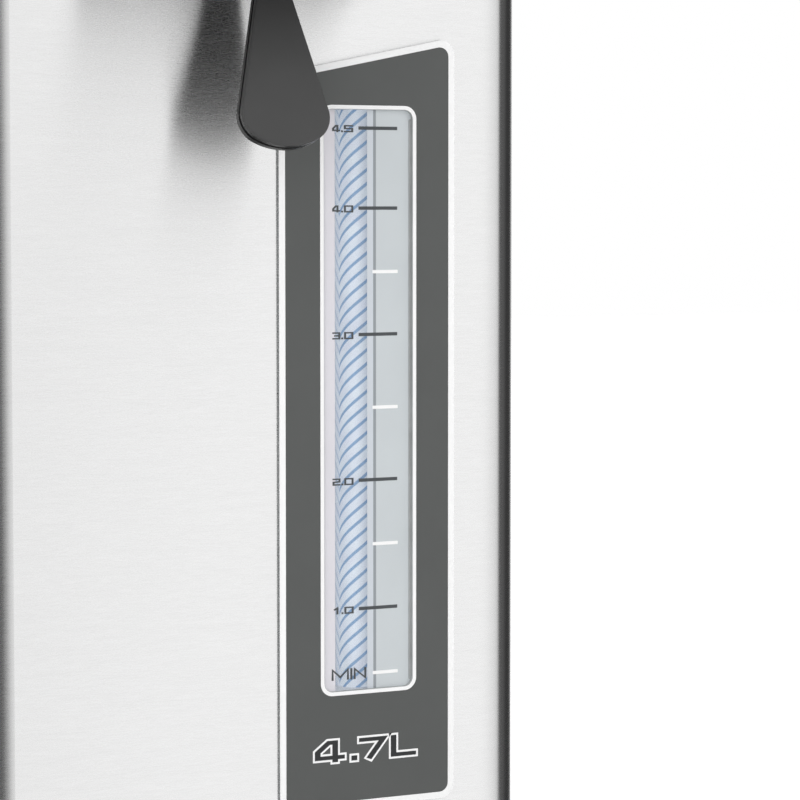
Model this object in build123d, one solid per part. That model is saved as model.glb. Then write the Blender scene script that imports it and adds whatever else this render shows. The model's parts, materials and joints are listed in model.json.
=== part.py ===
from build123d import *
import os
from math import cos, radians, sin, sqrt, tan

# Electric water boiler: a stainless pot in a brushed sleeve, emptied through a
# spout by an electric pump, by an air pump in the lid or by a lever under the spout.
# Millimetres, +Z up. The front faces -Y, and +X is the right of someone who faces it.
# The origin is the centre of the foot ring, on the table.

# Fits
slip_gap = 0.3          # between pieces that move past each other
seat_gap = 0.15         # between pieces that are fitted together
pin_fit = 0.05          # radial running fit of a pin, shaft or hub

# Modelling allowances
past = 1.0              # how far a cut or a joined piece runs past a face
far = 500.0             # beyond the whole boiler
hair = 0.01             # smaller than any feature

# Screwdriver slots, as shares of the head's radius
drive_length = 1.25
drive_width = 0.3
drive_depth = 0.2

# Body
body_width = 223.6
body_depth = 224.0
body_corner = 30.0
sleeve_wall = 0.8
sleeve_height = 296.0
base_height = 26.0
collar_height = 32.0
lid_height = 28.0
moulding_wall = 2.5
moulding_proud = 1.0    # how far the base and the head stand out past the sleeve

# Swivel base
foot_height = 3.0
foot_inset = 4.0        # inside the swivel plate's rim
foot_width = 10.0
foot_sunk = 1.2
swivel_radius = 88.0
swivel_thickness = 5.0
swivel_hub_radius = 18.0
runner_radius = 62.0
runner_width = 4.0
runner_height = 1.9
retainer_radius = 26.0
retainer_thickness = 1.5
swivel_screw_radius = 2.5
swivel_screw_head = 5.0
swivel_screw_cover = 1.0    # plastic left under the screw
swivel_chamfer = 1.0

# Base tray
skirt_clearance = 3.0
tray_chamfer = 2.0
tray_lip_height = 6.0
tray_lip_wall = 2.0
tray_lip_root = 4.0
motor_cup_wall = 2.0
motor_cup_height = 6.7
pan_post_height = 33.0
pan_post_radius = 4.5

# Posts under the pan: how far inside the pot's wall, and how far along it
pan_post_right = (7.8, 20.0)
pan_post_front = (11.8, -30.0)
pan_post_rear = (15.8, 40.0)
pan_post_left = (17.8, -44.0)

# Long screws that clamp the sleeve between the base and the head
tie_radius = 2.0
tie_head_radius = 4.0
tie_head_height = 2.6
tie_boss_radius = 6.0
tie_boss_height = 12.0
tie_inset_x = 15.5
tie_inset_y = 18.0      # the rear pair
tie_forward = 7.0       # the front pair, in front of the lid
tie_end_gap = 2.0       # from the screw's end to the top of its boss

# Pot and heater
gauge_room = 30.2       # from the sleeve's front to the pot's inside
pot_wall = 0.8
pot_bottom_fillet = 8.0
pot_flange_width = 9.4
pot_gasket_height = 2.0
pot_gasket_inset = 0.6
heater_inset = 29.8     # from the pot's wall
heater_thickness = 6.0
pad_thickness = 6.0
pan_thickness = 0.8
pan_rim_height = 16.0
pan_rim_gap = 0.4
thermostat_radius = 9.0
thermostat_height = 10.0
limiter_inset = (24.0, 28.0)    # inside the heater's edge, from the left and the rear
keep_warm_inset = 18.0
keep_warm_x = 12.0
jacket_gap = 0.3
jacket_thickness = 3.0
jacket_bottom_step = 16.0
jacket_top_step = 26.0
pan_hole_gap = 1.0
window_hole_gap = 0.5

# Water pump
pump_outlet_offset = 4.65   # from the pump's centre to its outlet
pump_radius = 18.0
pump_height = 12.0
pump_wall = 2.0
motor_radius = 15.5
motor_height = 20.0
rotor_radius = 13.0
rotor_height = 5.0
rotor_pin_radius = 1.5
rotor_hub_radius = 3.5
rotor_vane = 1.4
rotor_vanes = 6
rotor_gap = 1.0
motor_chamfer = 1.0
port_radius = 6.0
port_bore = 4.2
port_length = 5.0
inlet_hose_wall = 2.4
pump_outlet_height = 5.0
pump_outlet_length = 8.0
pump_outlet_bore = 2.6
hose_end_gap = 1.0
hose_radius = 7.0
hose_bore = 4.6
hose_bend = 12.0

# Water level gauge
panel_left = 11.8
panel_right = 77.0
panel_bottom = 11.1     # above the sleeve's lower edge
panel_left_drop = 31.8  # below the sleeve's upper edge
panel_right_drop = 18.1
panel_thickness = 1.2
panel_corner = 5.0
window_left = 27.7
window_right = 61.2
window_bottom = 51.8    # above the sleeve's lower edge
window_top_drop = 43.1  # below the sleeve's upper edge
window_corner = 3.2
window_lap = 1.5        # how far the clear plate goes behind the panel
window_thickness = 1.2
trough_depth = 18.5
trough_wall = 1.2
trough_back_width = 20.6
tube_radius = 7.0
tube_wall = 1.8
tube_setback = 10.5     # tube centre behind the sleeve's face
tube_below_window = 14.8
tube_above_window = 14.1
boot_wall = 2.2
boot_length = 20.3

# Tip-over valve and riser hose
valve_radius = 9.0
valve_end_wall = 2.7
valve_chamber_radius = 6.5
valve_port_radius = 3.0
valve_ball_radius = 4.0
valve_ball_travel = 8.4
riser_radius = 5.5
riser_bore = 3.5
riser_stub = 6.0
riser_way = 2.1         # bore of the stubs that the hose is pushed on
riser_bend = 8.0
riser_rise = 14.0       # from the valve to the hose's level run
riser_x = 24.0

# Head and nose
nose_reach = 66.0       # in front of the sleeve
nose_width = 88.0
nose_tip_radius = 24.0
nose_root_fillet = 10.0
head_fillet = 8.0
control_slope = 16.0    # degrees
mouth_step = 5.2        # from the pot's wall to the head's mouth
mouth_depth = 22.0
lid_rear_step = 3.0     # behind the head's mouth
lid_joint = 1.0
cover_thickness = 2.5
nose_screw_radius = 1.5
nose_screw_head = 3.0
nose_screw_length = 11.0
nose_boss_width = 7.0
nose_boss_reach = 12.0
nose_boss_height = 13.0
nose_screw_inset = 8.5
nose_screw_rows = [8.0, 46.0]   # in front of the sleeve

# Spout
spout_forward = 52.0    # in front of the sleeve
spout_radius = 8.0
spout_bore = 4.5
spout_drop = 2.5        # below the nose
spout_flange_radius = 11.0
spout_flange_height = 2.0
spout_top_wall = 1.0
spout_chamfer = 1.5

# Cup lever
lever_pivot_forward = 17.2
lever_pivot_height = 16.0   # above the nose's underside
lever_tilt = 14.9
lever_length = 76.1         # pivot to the lowest edge, along the lever
lever_thickness = 5.6
lever_pad_thickness = 2.2
lever_neck_thickness = 1.4
lever_neck_inset = 1.1
lever_corner_radius = 9.0
lever_half_width = 16.4
lever_top_half_width = 5.0
lever_widest_rise = 7.2
lever_top_rise = 56.0
lever_hub_radius = 5.0
lever_hub_width = 15.0
lever_finger = 12.0
lever_finger_width = 6.0
lever_arm_lap = 6.0
lever_rim_fillet = 0.7
lever_rim_below = 3.0       # the rounded rim starts this far below the nose
lever_pin_radius = 2.0
lever_pin_length = 26.0
lever_travel = 9.0          # degrees
lever_slot_half_width = 7.6
lever_slot_gap = 2.0
lever_ear_thickness = 4.0
lever_ear_ahead = 14.8      # of the lever's pivot
lever_ear_behind = 6.2
lever_ear_height = 20.5
switch_depth = 9.0
switch_height = 8.0
switch_inset = 1.5          # behind the front of the ears
switch_plunger_radius = 1.5
switch_plunger_reach = 2.1
switch_plunger_height = 2.6

# Controls
control_forward = 22.0  # in front of the sleeve
overlay_width = 70.0
overlay_length = 58.0
overlay_corner = 13.0
overlay_thickness = 0.6
button_proud = 1.6
button_travel = 1.2
button_flange = 1.5
button_flange_height = 1.2
button_stem_radius = 3.0
dispense_radius = 11.0
small_button_radius = 7.5
dispense_spot = (0.0, -12.0)
unlock_spot = (-21.0, 12.0)
reboil_spot = (21.0, 12.0)
button_fillet = 1.0
lens_radius = 1.8
lens_length = 6.0
lens_proud = 0.3
lens_spots = [(-7.0, 13.0), (0.0, 13.0), (7.0, 13.0)]
board_depth = 10.0
board_thickness = 1.6
board_width = 66.0
board_length = 52.0
board_corner = 3.0
board_post_radius = 3.0
board_post_spots = [(-29.0, 22.0), (29.0, 22.0), (-29.0, -21.0), (29.0, -21.0)]
tact_size = 6.0
tact_height = 3.0
board_screw_radius = 1.2
board_screw_head = 2.4
board_screw_length = 6.0

# Lid
well_inset = 33.5       # from the liner's wall
well_wall = 2.5
well_spare = 10.7       # height left for the bellows under the pressed plate
well_lip = 2.0
air_hole_radius = 6.0
plate_proud = 2.0
plate_height = 9.3
plate_wall = 2.5
plate_gap = 0.5
plate_fillet = 1.5
plate_travel = 30.0
bellows_room = 8.5      # from the well's wall
bellows_wall = 1.2
bellows_fold = 3.0
bellows_folds = 6
spring_room = 14.0      # inside the bellows
spring_wire = 1.6
liner_gap = 3.8         # inside the pot's wall
liner_wall = 0.8
liner_depth = 28.8      # below the lid's joint
liner_into_lid = 8.0
liner_fillet = 3.0
steam_hole_radius = 5.0
liner_rib_wall = 2.5
liner_rib_depth = 10.0
gasket_inset = 3.3      # inside the head's mouth
gasket_height = 5.0
gasket_chamfer = 1.2
vent_inset = 15.0       # from the liner's wall
vent_radius = 11.0
vent_neck_radius = 8.5
vent_neck_length = 10.0
vent_height = 2.4
vent_slots = 5
vent_slot_width = 1.6
vent_slot_length = 11.0
vent_wall = 1.5
vent_fillet = 1.0
air_valve_radius = 9.0
air_valve_thickness = 1.6
air_valve_stem_radius = 4.5
air_valve_stem = 1.0
hinge_behind = 8.0      # behind the lid
hinge_height = 6.0      # above the collar's top
hinge_pin_radius = 2.5
hinge_barrel_radius = 5.5
hinge_tongue_width = 60.0
hinge_pin_length = 72.0
hinge_pin_end_gap = 4.0
rear_deck_height = 9.5
rear_deck_fillet = 4.0

# Lid latch and pump lock
latch_width = 24.0
latch_length = 18.0
latch_height = 9.0
latch_setback = 25.0    # its rear end, behind the lid's front
latch_pad_width = 20.0
latch_pad_length = 12.0
latch_pad_proud = 2.4
latch_pad_setback = 2.0
slider_fillet = 0.8
latch_tongue_width = 16.0
latch_tongue_height = 4.0
latch_tongue_reach = 4.0    # in front of the lid
latch_travel = 4.2
latch_spring_radius = 2.5
latch_spring_wire = 0.7
strike_gap_x = 1.0
strike_gap_z = 0.6
latch_stop_gap = 10.0
latch_stop_wall = 2.0
latch_stop_half_width = 6.0
lock_outside = 11.5     # from the well's inside
lock_length = 14.0
lock_width = 14.0
lock_knob_width = 10.0
lock_knob_length = 9.0
lock_tongue_width = 8.0
lock_tongue_height = 3.5
lock_travel = 8.0
rail_wall = 2.0
rail_lip = 2.0
rail_past = 1.0         # how far the rails outrun the slider

# Carry handle
handle_y = 10.0
handle_height = 12.0        # pivot below the collar's top
handle_arm = 6.0
handle_depth = 16.0
handle_side_gap = 0.8
handle_rear_gap = 4.0
handle_bar = 14.0
handle_corner = 20.0
handle_eye_radius = 10.0
handle_pin_radius = 4.0
handle_cap_radius = 8.0
handle_cap_height = 2.4
handle_cap_fillet = 1.2
handle_boss_radius = 9.0
handle_boss_length = 9.0
grip_length = 96.0
grip_wall = 2.0
grip_fillet = 5.0

# Power inlet and power board
inlet_height = 20.0         # centre above the sleeve's lower edge
inlet_flange_width = 52.0
inlet_flange_height = 32.0
inlet_flange_thickness = 2.0
inlet_body_width = 42.0
inlet_body_height = 24.0
inlet_body_depth = 14.0
inlet_recess_width = 34.0
inlet_recess_height = 16.0
inlet_recess_depth = 12.0
inlet_corner = 3.0
inlet_hole_gap = 0.5
inlet_pin_radius = 2.0
inlet_pin_spacing = 20.0
inlet_pin_length = 18.0
inlet_pin_recessed = 4.0
power_board_inset = 19.5    # from the body's side
power_board_width = 48.0
power_board_front = -40.0
power_board_gap = 9.5       # to the pan's rear post
power_board_post = 4.5
power_post_inset = 5.0
relay_x = (6.0, 22.0)       # from the board's corner
relay_y = (14.0, 34.0)
relay_height = 15.0
transformer_x = (8.0, 34.0)
transformer_y = (44.0, 68.0)
transformer_height = 19.0
capacitor_spot = (36.0, 24.0)
capacitor_radius = 5.0
capacitor_height = 16.0

# Levels, from the table up
plate_bottom_z = foot_height - foot_sunk
plate_top_z = plate_bottom_z + swivel_thickness
floor_bottom_z = plate_top_z + slip_gap + runner_height
floor_top_z = floor_bottom_z + moulding_wall
hub_top_z = floor_top_z + slip_gap
sleeve_bottom_z = base_height
sleeve_top_z = sleeve_bottom_z + sleeve_height
collar_top_z = sleeve_top_z + collar_height
lid_bottom_z = collar_top_z + slip_gap
lid_top_z = lid_bottom_z + lid_height
pan_bottom_z = floor_top_z + pan_post_height
pan_top_z = pan_bottom_z + pan_thickness
heater_bottom_z = pan_top_z + pad_thickness
pot_bottom_z = heater_bottom_z + heater_thickness
pot_floor_z = pot_bottom_z + pot_wall
mouth_bottom_z = collar_top_z - mouth_depth
flange_top_z = mouth_bottom_z - pot_gasket_height
window_bottom_z = sleeve_bottom_z + window_bottom
window_top_z = sleeve_top_z - window_top_drop
motor_top_z = floor_top_z + motor_height
pump_top_z = motor_top_z + pump_height
hinge_z = collar_top_z + hinge_height
handle_z = collar_top_z - handle_height
lever_pivot_z = sleeve_top_z + lever_pivot_height
inlet_z = sleeve_bottom_z + inlet_height

# Sides
front_y = -body_depth / 2
rear_y = body_depth / 2
side_x = body_width / 2
head_side_x = side_x + moulding_proud
head_rear_y = rear_y + moulding_proud
head_front_y = front_y - moulding_proud
nose_tip_y = front_y - nose_reach
lever_pivot_y = front_y - lever_pivot_forward
lever_ear_front = lever_pivot_y - lever_ear_ahead
lever_ear_rear = lever_pivot_y + lever_ear_behind
switch_front = lever_ear_front + switch_inset
nose_screw_y = [front_y - row for row in nose_screw_rows]
spout_y = front_y - spout_forward
control_y = front_y - control_forward
tube_x = (window_left + window_right) / 2
tube_y = front_y + tube_setback
foot_outer_radius = swivel_radius - foot_inset
foot_inner_radius = foot_outer_radius - foot_width
tube_bottom_z = window_bottom_z - tube_below_window
tube_top_z = window_top_z + tube_above_window
tie_x = side_x - tie_inset_x

# The pot is as wide as the gauge in front and the handle's bosses at the sides allow
widest_mouth = head_side_x - handle_boss_length - 1.5 * moulding_wall
pot_radius = min(body_depth / 2 - gauge_room, widest_mouth - mouth_step)    # 47.6 mm deep for each litre
heater_radius = pot_radius - heater_inset
thermostat_spots = [
    (limiter_inset[0] - heater_radius, heater_radius - limiter_inset[1]),
    (keep_warm_x, heater_radius - keep_warm_inset),
]
pan_posts = [
    (pot_radius - pan_post_right[0], pan_post_right[1]),
    (pan_post_front[1], pan_post_front[0] - pot_radius),
    (pan_post_rear[1], pot_radius - pan_post_rear[0]),
    (pan_post_left[1], pot_radius - pan_post_left[0]),
]
pump_x = tube_x - pump_outlet_offset
pump_y = -heater_radius
power_board_x = (power_board_inset - side_x, power_board_inset - side_x + power_board_width)
power_board_y = (power_board_front, pan_posts[-1][1] - pan_post_radius - power_board_gap)

# The lid and what it carries follow the head's mouth
mouth_radius = pot_radius + mouth_step
lid_front = -mouth_radius
lid_rear = mouth_radius + lid_rear_step
tie_y = (lid_front - tie_forward, rear_y - tie_inset_y)
corners = [(side * tie_x, y) for side in (-1, 1) for y in tie_y]
hinge_y = lid_rear + hinge_behind
gasket_radius = mouth_radius - gasket_inset
liner_radius = pot_radius - liner_gap
well_radius = liner_radius - well_inset
bellows_radius = well_radius - bellows_room
spring_radius = bellows_radius - spring_room
vent_y = liner_radius - vent_inset
latch_rear = lid_front + latch_setback
lock_inner = well_radius + lock_outside


# Shape helpers


def block(x, y, z):
    """A box from three (low, high) pairs."""
    size = Box(x[1] - x[0], y[1] - y[0], z[1] - z[0])
    return Pos((x[0] + x[1]) / 2, (y[0] + y[1]) / 2, (z[0] + z[1]) / 2) * size


def disc(radius, z, at=(0, 0)):
    """An upright cylinder between two heights."""
    return Pos(at[0], at[1], (z[0] + z[1]) / 2) * Cylinder(radius, z[1] - z[0])


def ring(outer, inner, z, at=(0, 0)):
    """An upright tube between two heights."""
    return disc(outer, z, at) - disc(inner, (z[0] - past, z[1] + past), at)


def rod_x(radius, x, y, z):
    """A cylinder along X."""
    return Pos((x[0] + x[1]) / 2, y, z) * Rot(0, 90, 0) * Cylinder(radius, x[1] - x[0])


def rod_y(radius, x, y, z):
    """A cylinder along Y."""
    return Pos(x, (y[0] + y[1]) / 2, z) * Rot(90, 0, 0) * Cylinder(radius, y[1] - y[0])


def body_outline(grow):
    """The body's plan, grown outwards by a distance."""
    corner = max(body_corner + grow, 1.0)
    return RectangleRounded(body_width + 2 * grow, body_depth + 2 * grow, corner)


def upright(sketch, z):
    """A plan drawing made solid between two heights."""
    return extrude(Pos(0, 0, z[0]) * sketch, z[1] - z[0])


def front_plate(sketch, back_y, thickness):
    """A drawing on the front, x to the right and z up, made solid towards -Y."""
    return extrude(Plane(origin=(0, back_y, 0), x_dir=(1, 0, 0), z_dir=(0, -1, 0)) * sketch, thickness)


def hose(points, bend, outer, bore):
    """A tube of straight runs and round bends."""
    path = FilletPolyline(*points, radius=bend)
    start = Plane(origin=path @ 0, z_dir=path % 0)
    solid = sweep(start * Circle(outer), path=path)
    return solid - sweep(start * Circle(bore), path=path)


def drive_slot(head_radius, z, at=(0, 0)):
    """The screwdriver slot across a screw's head, centred on the head's face."""
    slot = Box(drive_length * head_radius, drive_width * head_radius, 2 * drive_depth * head_radius)
    return Pos(at[0], at[1], z) * slot


def on_controls(piece):
    """Place a piece drawn on the flat of the control panel, z outwards."""
    rise = tan(radians(control_slope)) * (lid_front - lid_joint - control_y)
    origin = (0, control_y, lid_top_z - rise)
    normal = (0, -sin(radians(control_slope)), cos(radians(control_slope)))
    return Plane(origin=origin, x_dir=(1, 0, 0), z_dir=normal).location * piece


def above_controls(depth):
    """Everything above the sloped top of the nose, lowered by a depth."""
    return on_controls(block((-far, far), (-far, far), (-depth, far)))


def slider_rails(length, width, height):
    """Two L-shaped rails along X under a top plate at z 0, for a slider of this width and height."""
    rails = Part()
    inner = width / 2 + slip_gap
    drop = height + slip_gap
    for side in (-1, 1):
        web = sorted((side * inner, side * (inner + rail_wall)))
        lip = sorted((side * (inner - rail_lip), side * (inner + rail_wall)))
        rails += block((0, length), web, (-drop - rail_wall - slip_gap, 0))
        rails += block((0, length), lip, (-drop - rail_wall - slip_gap, -drop - slip_gap))
    return rails


# Swivel base


def make_rubber_ring():
    return ring(foot_outer_radius, foot_inner_radius, (0, foot_height))


def make_swivel_plate():
    plate = disc(swivel_radius, (plate_bottom_z, plate_top_z))
    plate = chamfer(plate.edges().group_by(Axis.Z)[-1], swivel_chamfer)
    plate += disc(swivel_hub_radius, (plate_top_z, hub_top_z))
    plate -= ring(foot_outer_radius + pin_fit, foot_inner_radius - pin_fit, (0, foot_height))
    plate -= disc(swivel_screw_radius, (plate_bottom_z + swivel_screw_cover, hub_top_z + past))
    return plate


def make_swivel_retainer():
    z = (hub_top_z, hub_top_z + retainer_thickness)
    return ring(retainer_radius, swivel_screw_radius + seat_gap, z)


def make_swivel_screw():
    under_head = hub_top_z + retainer_thickness
    head = disc(swivel_screw_head, (under_head, under_head + swivel_screw_radius))
    head -= drive_slot(swivel_screw_head, under_head + swivel_screw_radius)
    return head + disc(swivel_screw_radius, (plate_bottom_z + swivel_screw_cover, under_head))


# Base tray and sleeve


def make_base_tray():
    skirt_z = (skirt_clearance, sleeve_bottom_z)
    shell = upright(body_outline(moulding_proud), skirt_z)
    shell = chamfer(shell.edges().group_by(Axis.Z)[0], tray_chamfer)
    inside = body_outline(moulding_proud - moulding_wall)
    shell -= upright(inside, (0, floor_bottom_z))
    shell -= upright(inside, (floor_top_z, sleeve_bottom_z + past))
    lip_outer = body_outline(-sleeve_wall - seat_gap)
    lip_inner = body_outline(-sleeve_wall - seat_gap - tray_lip_wall)
    lip_z = (sleeve_bottom_z - tray_lip_root, sleeve_bottom_z + tray_lip_height)
    shell += upright(lip_outer, lip_z) - upright(lip_inner, (lip_z[0] - past, lip_z[1] + past))
    runner_z = (plate_top_z + slip_gap, floor_bottom_z)
    shell += ring(runner_radius + runner_width / 2, runner_radius - runner_width / 2, runner_z)
    shell -= disc(swivel_hub_radius + pin_fit, (0, floor_top_z + past))
    for spot in corners:
        shell += disc(tie_boss_radius, (floor_top_z, floor_top_z + tie_boss_height), spot)
        shell -= disc(tie_radius + seat_gap, (0, floor_top_z + tie_boss_height + past), spot)
        shell -= disc(tie_head_radius + slip_gap, (0, floor_bottom_z + tie_head_height), spot)
    for spot in pan_posts:
        shell += disc(pan_post_radius, (floor_top_z, pan_bottom_z), spot)
    for spot in power_board_posts():
        shell += disc(board_post_radius, (floor_top_z, floor_top_z + power_board_post), spot)
    cup_z = (floor_top_z, floor_top_z + motor_cup_height)
    cup = motor_radius + seat_gap
    shell += ring(cup + motor_cup_wall, cup, cup_z, (pump_x, pump_y))
    return shell


def make_tie_screws():
    top = sleeve_top_z + tie_boss_height - tie_end_gap
    head_z = (floor_bottom_z + slip_gap, floor_bottom_z + tie_head_height)
    screws = []
    for spot in corners:
        screw = disc(tie_head_radius, head_z, spot)
        screw -= drive_slot(tie_head_radius, head_z[0], spot)
        screws.append(screw + disc(tie_radius, (head_z[1], top), spot))
    return screws


def window_outline(grow):
    """The window's outline on the front, grown by a distance."""
    width = window_right - window_left + 2 * grow
    height = window_top_z - window_bottom_z + 2 * grow
    middle = Pos((window_left + window_right) / 2, (window_top_z + window_bottom_z) / 2)
    return middle * RectangleRounded(width, height, window_corner + max(grow, 0))


def inlet_outline(width, height):
    """A rounded rectangle at the power inlet, on the rear."""
    plane = Plane(origin=(0, 0, inlet_z), x_dir=(-1, 0, 0), z_dir=(0, 1, 0))
    return plane * RectangleRounded(width, height, inlet_corner)


def make_outer_sleeve():
    z = (sleeve_bottom_z, sleeve_top_z)
    sleeve = upright(body_outline(0), z)
    sleeve -= upright(body_outline(-sleeve_wall), (z[0] - past, z[1] + past))
    cut = sleeve_wall + 2 * past
    sleeve -= front_plate(window_outline(window_lap + window_hole_gap), front_y + cut - past, cut)
    hole = inlet_outline(inlet_body_width + 2 * inlet_hole_gap, inlet_body_height + 2 * inlet_hole_gap)
    sleeve -= extrude(Pos(0, rear_y + past - cut, 0) * hole, cut)
    return sleeve


# Pot, heater and insulation


def pump_spot():
    return (pump_x, pump_y)


def make_inner_pot():
    outer = pot_radius + pot_wall
    pot = disc(outer, (pot_bottom_z, flange_top_z))
    pot = fillet(pot.edges().group_by(Axis.Z)[0], pot_bottom_fillet)
    pot += disc(pot_radius + pot_flange_width, (flange_top_z - pot_wall, flange_top_z))
    inside = disc(pot_radius, (pot_floor_z, flange_top_z + past))
    pot -= fillet(inside.edges().group_by(Axis.Z)[0], pot_bottom_fillet - pot_wall)
    pot += disc(port_radius, (pot_bottom_z - port_length, pot_bottom_z), pump_spot())
    pot -= disc(port_bore, (pot_bottom_z - port_length - past, pot_floor_z + past), pump_spot())
    return pot


def make_pot_gasket():
    outer = pot_radius + pot_flange_width - pot_gasket_inset
    return ring(outer, mouth_radius, (flange_top_z, mouth_bottom_z))


def make_heater_plate():
    return disc(heater_radius, (heater_bottom_z, pot_bottom_z))


def make_insulation_pad():
    pad = disc(heater_radius, (pan_top_z, heater_bottom_z))
    for spot in thermostat_spots:
        pad -= disc(thermostat_radius + seat_gap, (pan_top_z - past, heater_bottom_z + past), spot)
    return pad


def make_support_pan():
    rim_inner = pot_radius + pot_wall + pan_rim_gap
    pan = disc(rim_inner + pan_thickness, (pan_bottom_z, pan_top_z + pan_rim_height))
    pan -= disc(rim_inner, (pan_top_z, pan_top_z + pan_rim_height + past))
    for spot in thermostat_spots:
        pan -= disc(thermostat_radius + seat_gap, (pan_bottom_z - past, pan_top_z + past), spot)
    clear = port_radius + inlet_hose_wall + pan_hole_gap
    pan -= disc(clear, (pan_bottom_z - past, pan_top_z + past), pump_spot())
    return pan


def make_thermostats():
    z = (heater_bottom_z - thermostat_height, heater_bottom_z)
    return [disc(thermostat_radius, z, spot) for spot in thermostat_spots]


def make_insulation_jacket():
    inner = pot_radius + pot_wall + jacket_gap
    z = (pot_bottom_z + jacket_bottom_step, flange_top_z - jacket_top_step)
    return ring(inner + jacket_thickness, inner, z)


# Water pump


def make_pump_motor():
    motor = disc(motor_radius, (floor_top_z, motor_top_z), pump_spot())
    return chamfer(motor.edges().group_by(Axis.Z)[0], motor_chamfer)


def rotor_z():
    low = motor_top_z + pump_wall + slip_gap
    return (low, low + rotor_height)


def make_pump_housing():
    chamber_z = (motor_top_z + pump_wall, pump_top_z - pump_wall)
    housing = disc(pump_radius, (motor_top_z, pump_top_z), pump_spot())
    outlet_z = motor_top_z + pump_outlet_height
    outlet_y = (pump_y - pump_radius - pump_outlet_length, pump_y)
    housing += rod_y(hose_bore - seat_gap, tube_x, outlet_y, outlet_z)
    housing += disc(port_radius, (pump_top_z, pump_top_z + port_length), pump_spot())
    housing -= disc(rotor_radius + rotor_gap, chamber_z, pump_spot())
    housing -= disc(port_bore, (chamber_z[1] - past, pump_top_z + port_length + past), pump_spot())
    bore_y = (outlet_y[0] - past, pump_y)
    housing -= rod_y(pump_outlet_bore, tube_x, bore_y, outlet_z)
    housing += disc(rotor_pin_radius, (chamber_z[0] - past, rotor_z()[1] + slip_gap), pump_spot())
    return housing


def make_pump_rotor():
    low, high = rotor_z()
    middle = low + rotor_height / 2
    rotor = disc(rotor_radius, (low, middle), pump_spot())
    rotor += disc(rotor_hub_radius, (middle, high), pump_spot())
    vane_x = (rotor_hub_radius - slip_gap, rotor_radius - slip_gap)
    vane = block(vane_x, (-rotor_vane / 2, rotor_vane / 2), (middle - slip_gap, high))
    for turn in range(rotor_vanes):
        rotor += Pos(pump_x, pump_y) * Rot(0, 0, turn * 360 / rotor_vanes) * vane
    return rotor - disc(rotor_pin_radius + pin_fit, (low - past, high + past), pump_spot())


def make_inlet_hose():
    inner = port_radius + seat_gap
    z = (pump_top_z + seat_gap, pot_bottom_z - seat_gap)
    return ring(port_radius + inlet_hose_wall, inner, z, pump_spot())


def make_outlet_hose():
    z = motor_top_z + pump_outlet_height
    start_y = pump_y - pump_radius - hose_end_gap
    points = [(tube_x, start_y, z), (tube_x, tube_y, z), (tube_x, tube_y, tube_bottom_z - slip_gap)]
    return hose(points, hose_bend, hose_radius, hose_bore)


# Water level gauge


def make_gauge_panel():
    bottom = sleeve_bottom_z + panel_bottom
    points = [
        (panel_left, bottom),
        (panel_right, bottom),
        (panel_right, sleeve_top_z - panel_right_drop),
        (panel_left, sleeve_top_z - panel_left_drop),
    ]
    outline = make_face(Polyline(*points, close=True))
    outline = fillet(outline.vertices(), panel_corner)
    return front_plate(outline - window_outline(0), front_y, panel_thickness)


def make_gauge_window():
    return front_plate(window_outline(window_lap), front_y + window_thickness, window_thickness)


def trough_plan(front_half, back_half, front, back):
    """The trough's plan: wide in front, narrow behind."""
    points = [
        (tube_x - front_half, front),
        (tube_x + front_half, front),
        (tube_x + back_half, back),
        (tube_x - back_half, back),
    ]
    return make_face(Polyline(*points, close=True))


def make_gauge_trough():
    front = front_y + window_thickness
    half = (window_right - window_left) / 2 + window_lap
    back_half = trough_back_width / 2
    back = front + trough_depth
    outer_z = (window_bottom_z - window_lap, window_top_z + window_lap)
    outer = trough_plan(half, back_half + trough_wall, front, back + trough_wall)
    inner = trough_plan(half - trough_wall, back_half, front - hair, back)
    trough = upright(outer, outer_z) - upright(inner, (window_bottom_z, window_top_z))
    return trough - disc(tube_radius + seat_gap, (outer_z[0] - past, outer_z[1] + past), (tube_x, tube_y))


def make_level_tube():
    return ring(tube_radius, tube_radius - tube_wall, (tube_bottom_z, tube_top_z), (tube_x, tube_y))


def boot_top_z():
    return window_top_z + window_lap + slip_gap + boot_length


def make_tube_boots():
    low_top = window_bottom_z - window_lap - slip_gap
    spans = [(low_top - boot_length, low_top), (boot_top_z() - boot_length, boot_top_z())]
    outer = tube_radius + boot_wall
    return [ring(outer, tube_radius + pin_fit, span, (tube_x, tube_y)) for span in spans]


# Tip-over valve and riser hose


def ball_sit():
    """Height of the ball's centre above the port that it rests on."""
    return sqrt(valve_ball_radius**2 - valve_port_radius**2)


def valve_z():
    """The valve's ends: room for the ball, its travel and both end walls."""
    low = boot_top_z() + slip_gap
    chamber = 2 * (ball_sit() + slip_gap) + valve_ball_travel
    return (low, low + chamber + 2 * valve_end_wall)


def ball_rest_z():
    return valve_z()[0] + valve_end_wall + ball_sit() + slip_gap


def make_tip_valve():
    low, high = valve_z()
    spot = (tube_x, tube_y)
    valve = disc(valve_radius, (low, high), spot)
    valve += disc(tube_radius, (tube_top_z + slip_gap, low), spot)
    valve += disc(riser_bore - seat_gap, (high, high + riser_stub / 2), spot)
    valve -= disc(valve_chamber_radius, (low + valve_end_wall, high - valve_end_wall), spot)
    valve -= disc(valve_port_radius, (tube_top_z, high - valve_end_wall / 2), spot)
    return valve - disc(riser_way, (low, high + riser_stub), spot)


def make_valve_ball():
    return Pos(tube_x, tube_y, ball_rest_z()) * Sphere(valve_ball_radius)


def riser_level_z():
    return valve_z()[1] + riser_rise


def make_riser_hose():
    top = riser_level_z()
    points = [
        (tube_x, tube_y, valve_z()[1] + seat_gap),
        (tube_x, tube_y, top),
        (riser_x, tube_y, top),
        (riser_x, spout_y, top),
        (spout_radius + seat_gap, spout_y, top),
    ]
    return hose(points, riser_bend, riser_radius, riser_bore)


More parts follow.
